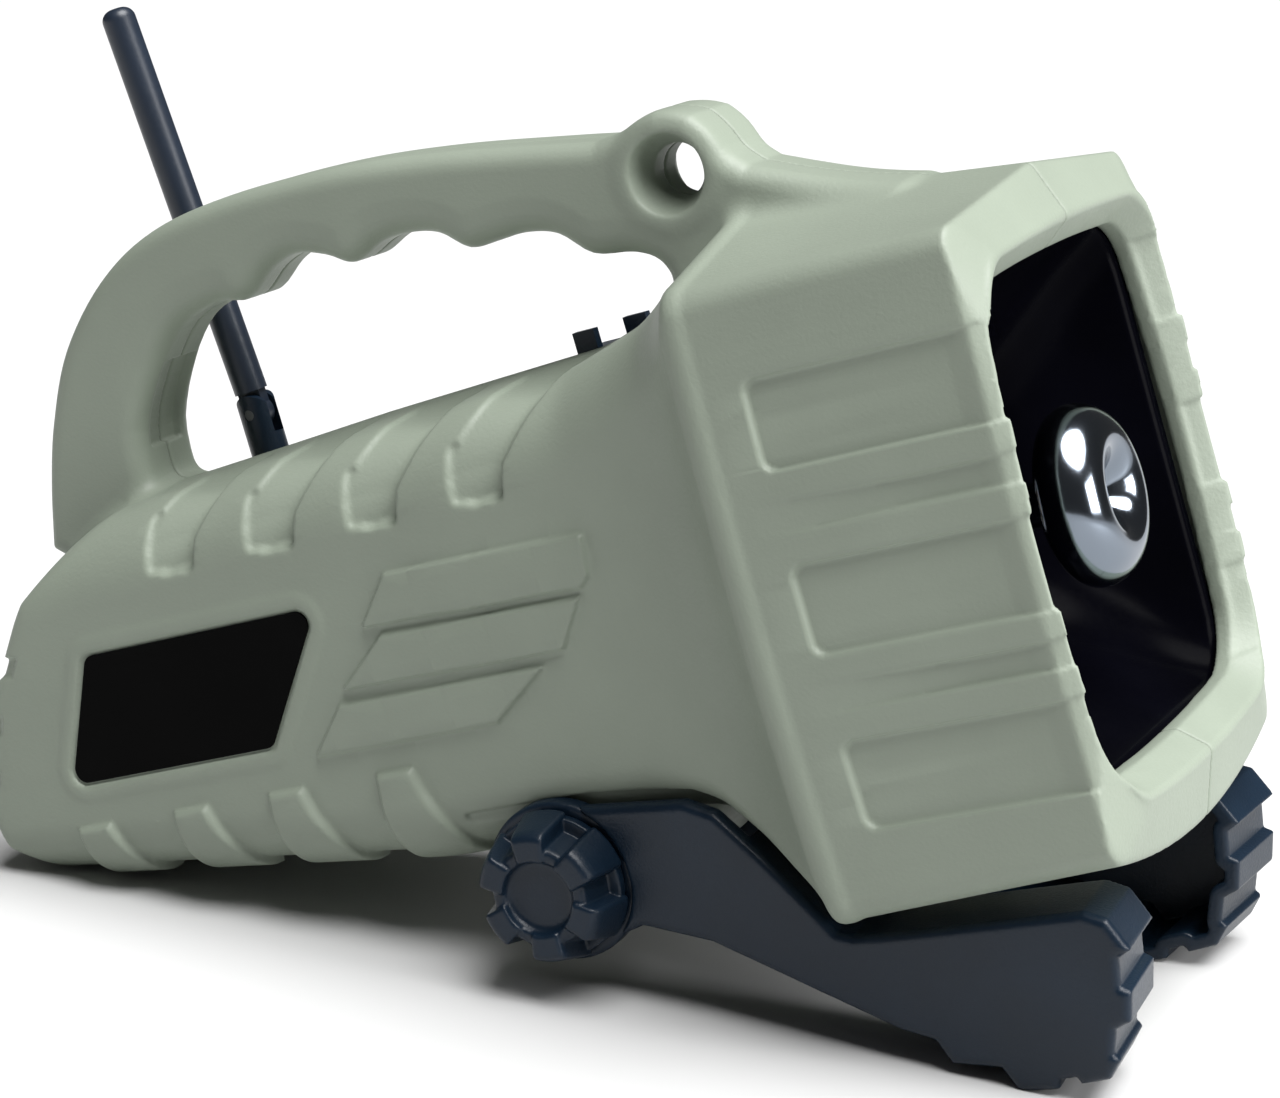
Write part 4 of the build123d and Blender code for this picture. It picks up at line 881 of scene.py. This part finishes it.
def build_floor():
    """Flat floor just under the feet."""
    count = FLOOR_SQUARES
    across = [(i / count - 0.5) * FLOOR_SIZE for i in range(count + 1)]
    vertices = [(x, y, -FLOOR_DROP) for x in across for y in across]
    corners = [i * (count + 1) + j for i in range(count) for j in range(count)]
    faces = [(n, n + count + 1, n + count + 2, n + 1) for n in corners]
    mesh = bpy.data.meshes.new("floor")
    mesh.from_pydata(vertices, [], faces)
    floor = bpy.data.objects.new("floor", mesh)
    scene.collection.objects.link(floor)
    grey = (FLOOR_GREY, FLOOR_GREY, FLOOR_GREY, 1)
    floor.data.materials.append(plain("floor_paper", grey, FLOOR_ROUGHNESS))


def area(name, place, target, size, power):
    """A square lamp at place, pointed at target."""
    data = bpy.data.lights.new(name, "AREA")
    data.size = size
    data.energy = power
    light = bpy.data.objects.new(name, data)
    light.location = place
    light.rotation_mode = "QUATERNION"
    light.rotation_quaternion = (Vector(target) - Vector(place)).to_track_quat("-Z", "Y")
    scene.collection.objects.link(light)


build_floor()
sun_data = bpy.data.lights.new("sky_panel", "SUN")
sun_data.energy = SUN_ENERGY
sun_data.angle = SUN_SPREAD
sun = bpy.data.objects.new("sky_panel", sun_data)
sun.rotation_mode = "QUATERNION"
sun.rotation_quaternion = SUN_AIM.to_track_quat("-Z", "Y")
scene.collection.objects.link(sun)
area("key", KEY_PLACE, KEY_AIM, KEY_SIZE, KEY_POWER)
world = bpy.data.worlds.new("studio")
scene.world = world
world.use_nodes = True
sky = world.node_tree.nodes["Background"]
sky.inputs["Color"].default_value = (1.0, 1.0, 1.0, 1)
sky.inputs["Strength"].default_value = SKY_STRENGTH
paper = world.node_tree.nodes.new("ShaderNodeBackground")
paper.inputs["Color"].default_value = (1.0, 1.0, 1.0, 1)
paper.inputs["Strength"].default_value = 1.0
path = world.node_tree.nodes.new("ShaderNodeLightPath")
mix = world.node_tree.nodes.new("ShaderNodeMixShader")
link = world.node_tree.links.new
link(path.outputs["Is Camera Ray"], mix.inputs["Fac"])
link(sky.outputs["Background"], mix.inputs[1])
link(paper.outputs["Background"], mix.inputs[2])
link(mix.outputs["Shader"], world.node_tree.nodes["World Output"].inputs["Surface"])
scene.view_settings.view_transform = "Standard"

camera_data = bpy.data.cameras.new("camera")
camera_data.sensor_width = 36.0
camera_data.lens = 100.0
camera_data.clip_start, camera_data.clip_end = 0.02, 20
camera = bpy.data.objects.new("camera", camera_data)
scene.collection.objects.link(camera)
sight = CAMERA_AIM.normalized()
right = sight.cross(Vector((0, 0, 1))).normalized()
above = right.cross(sight)
turn = Matrix((right, above, -sight)).transposed()
camera.matrix_world = Matrix.Translation(CAMERA_PLACE) @ turn.to_4x4()
scene.camera = camera
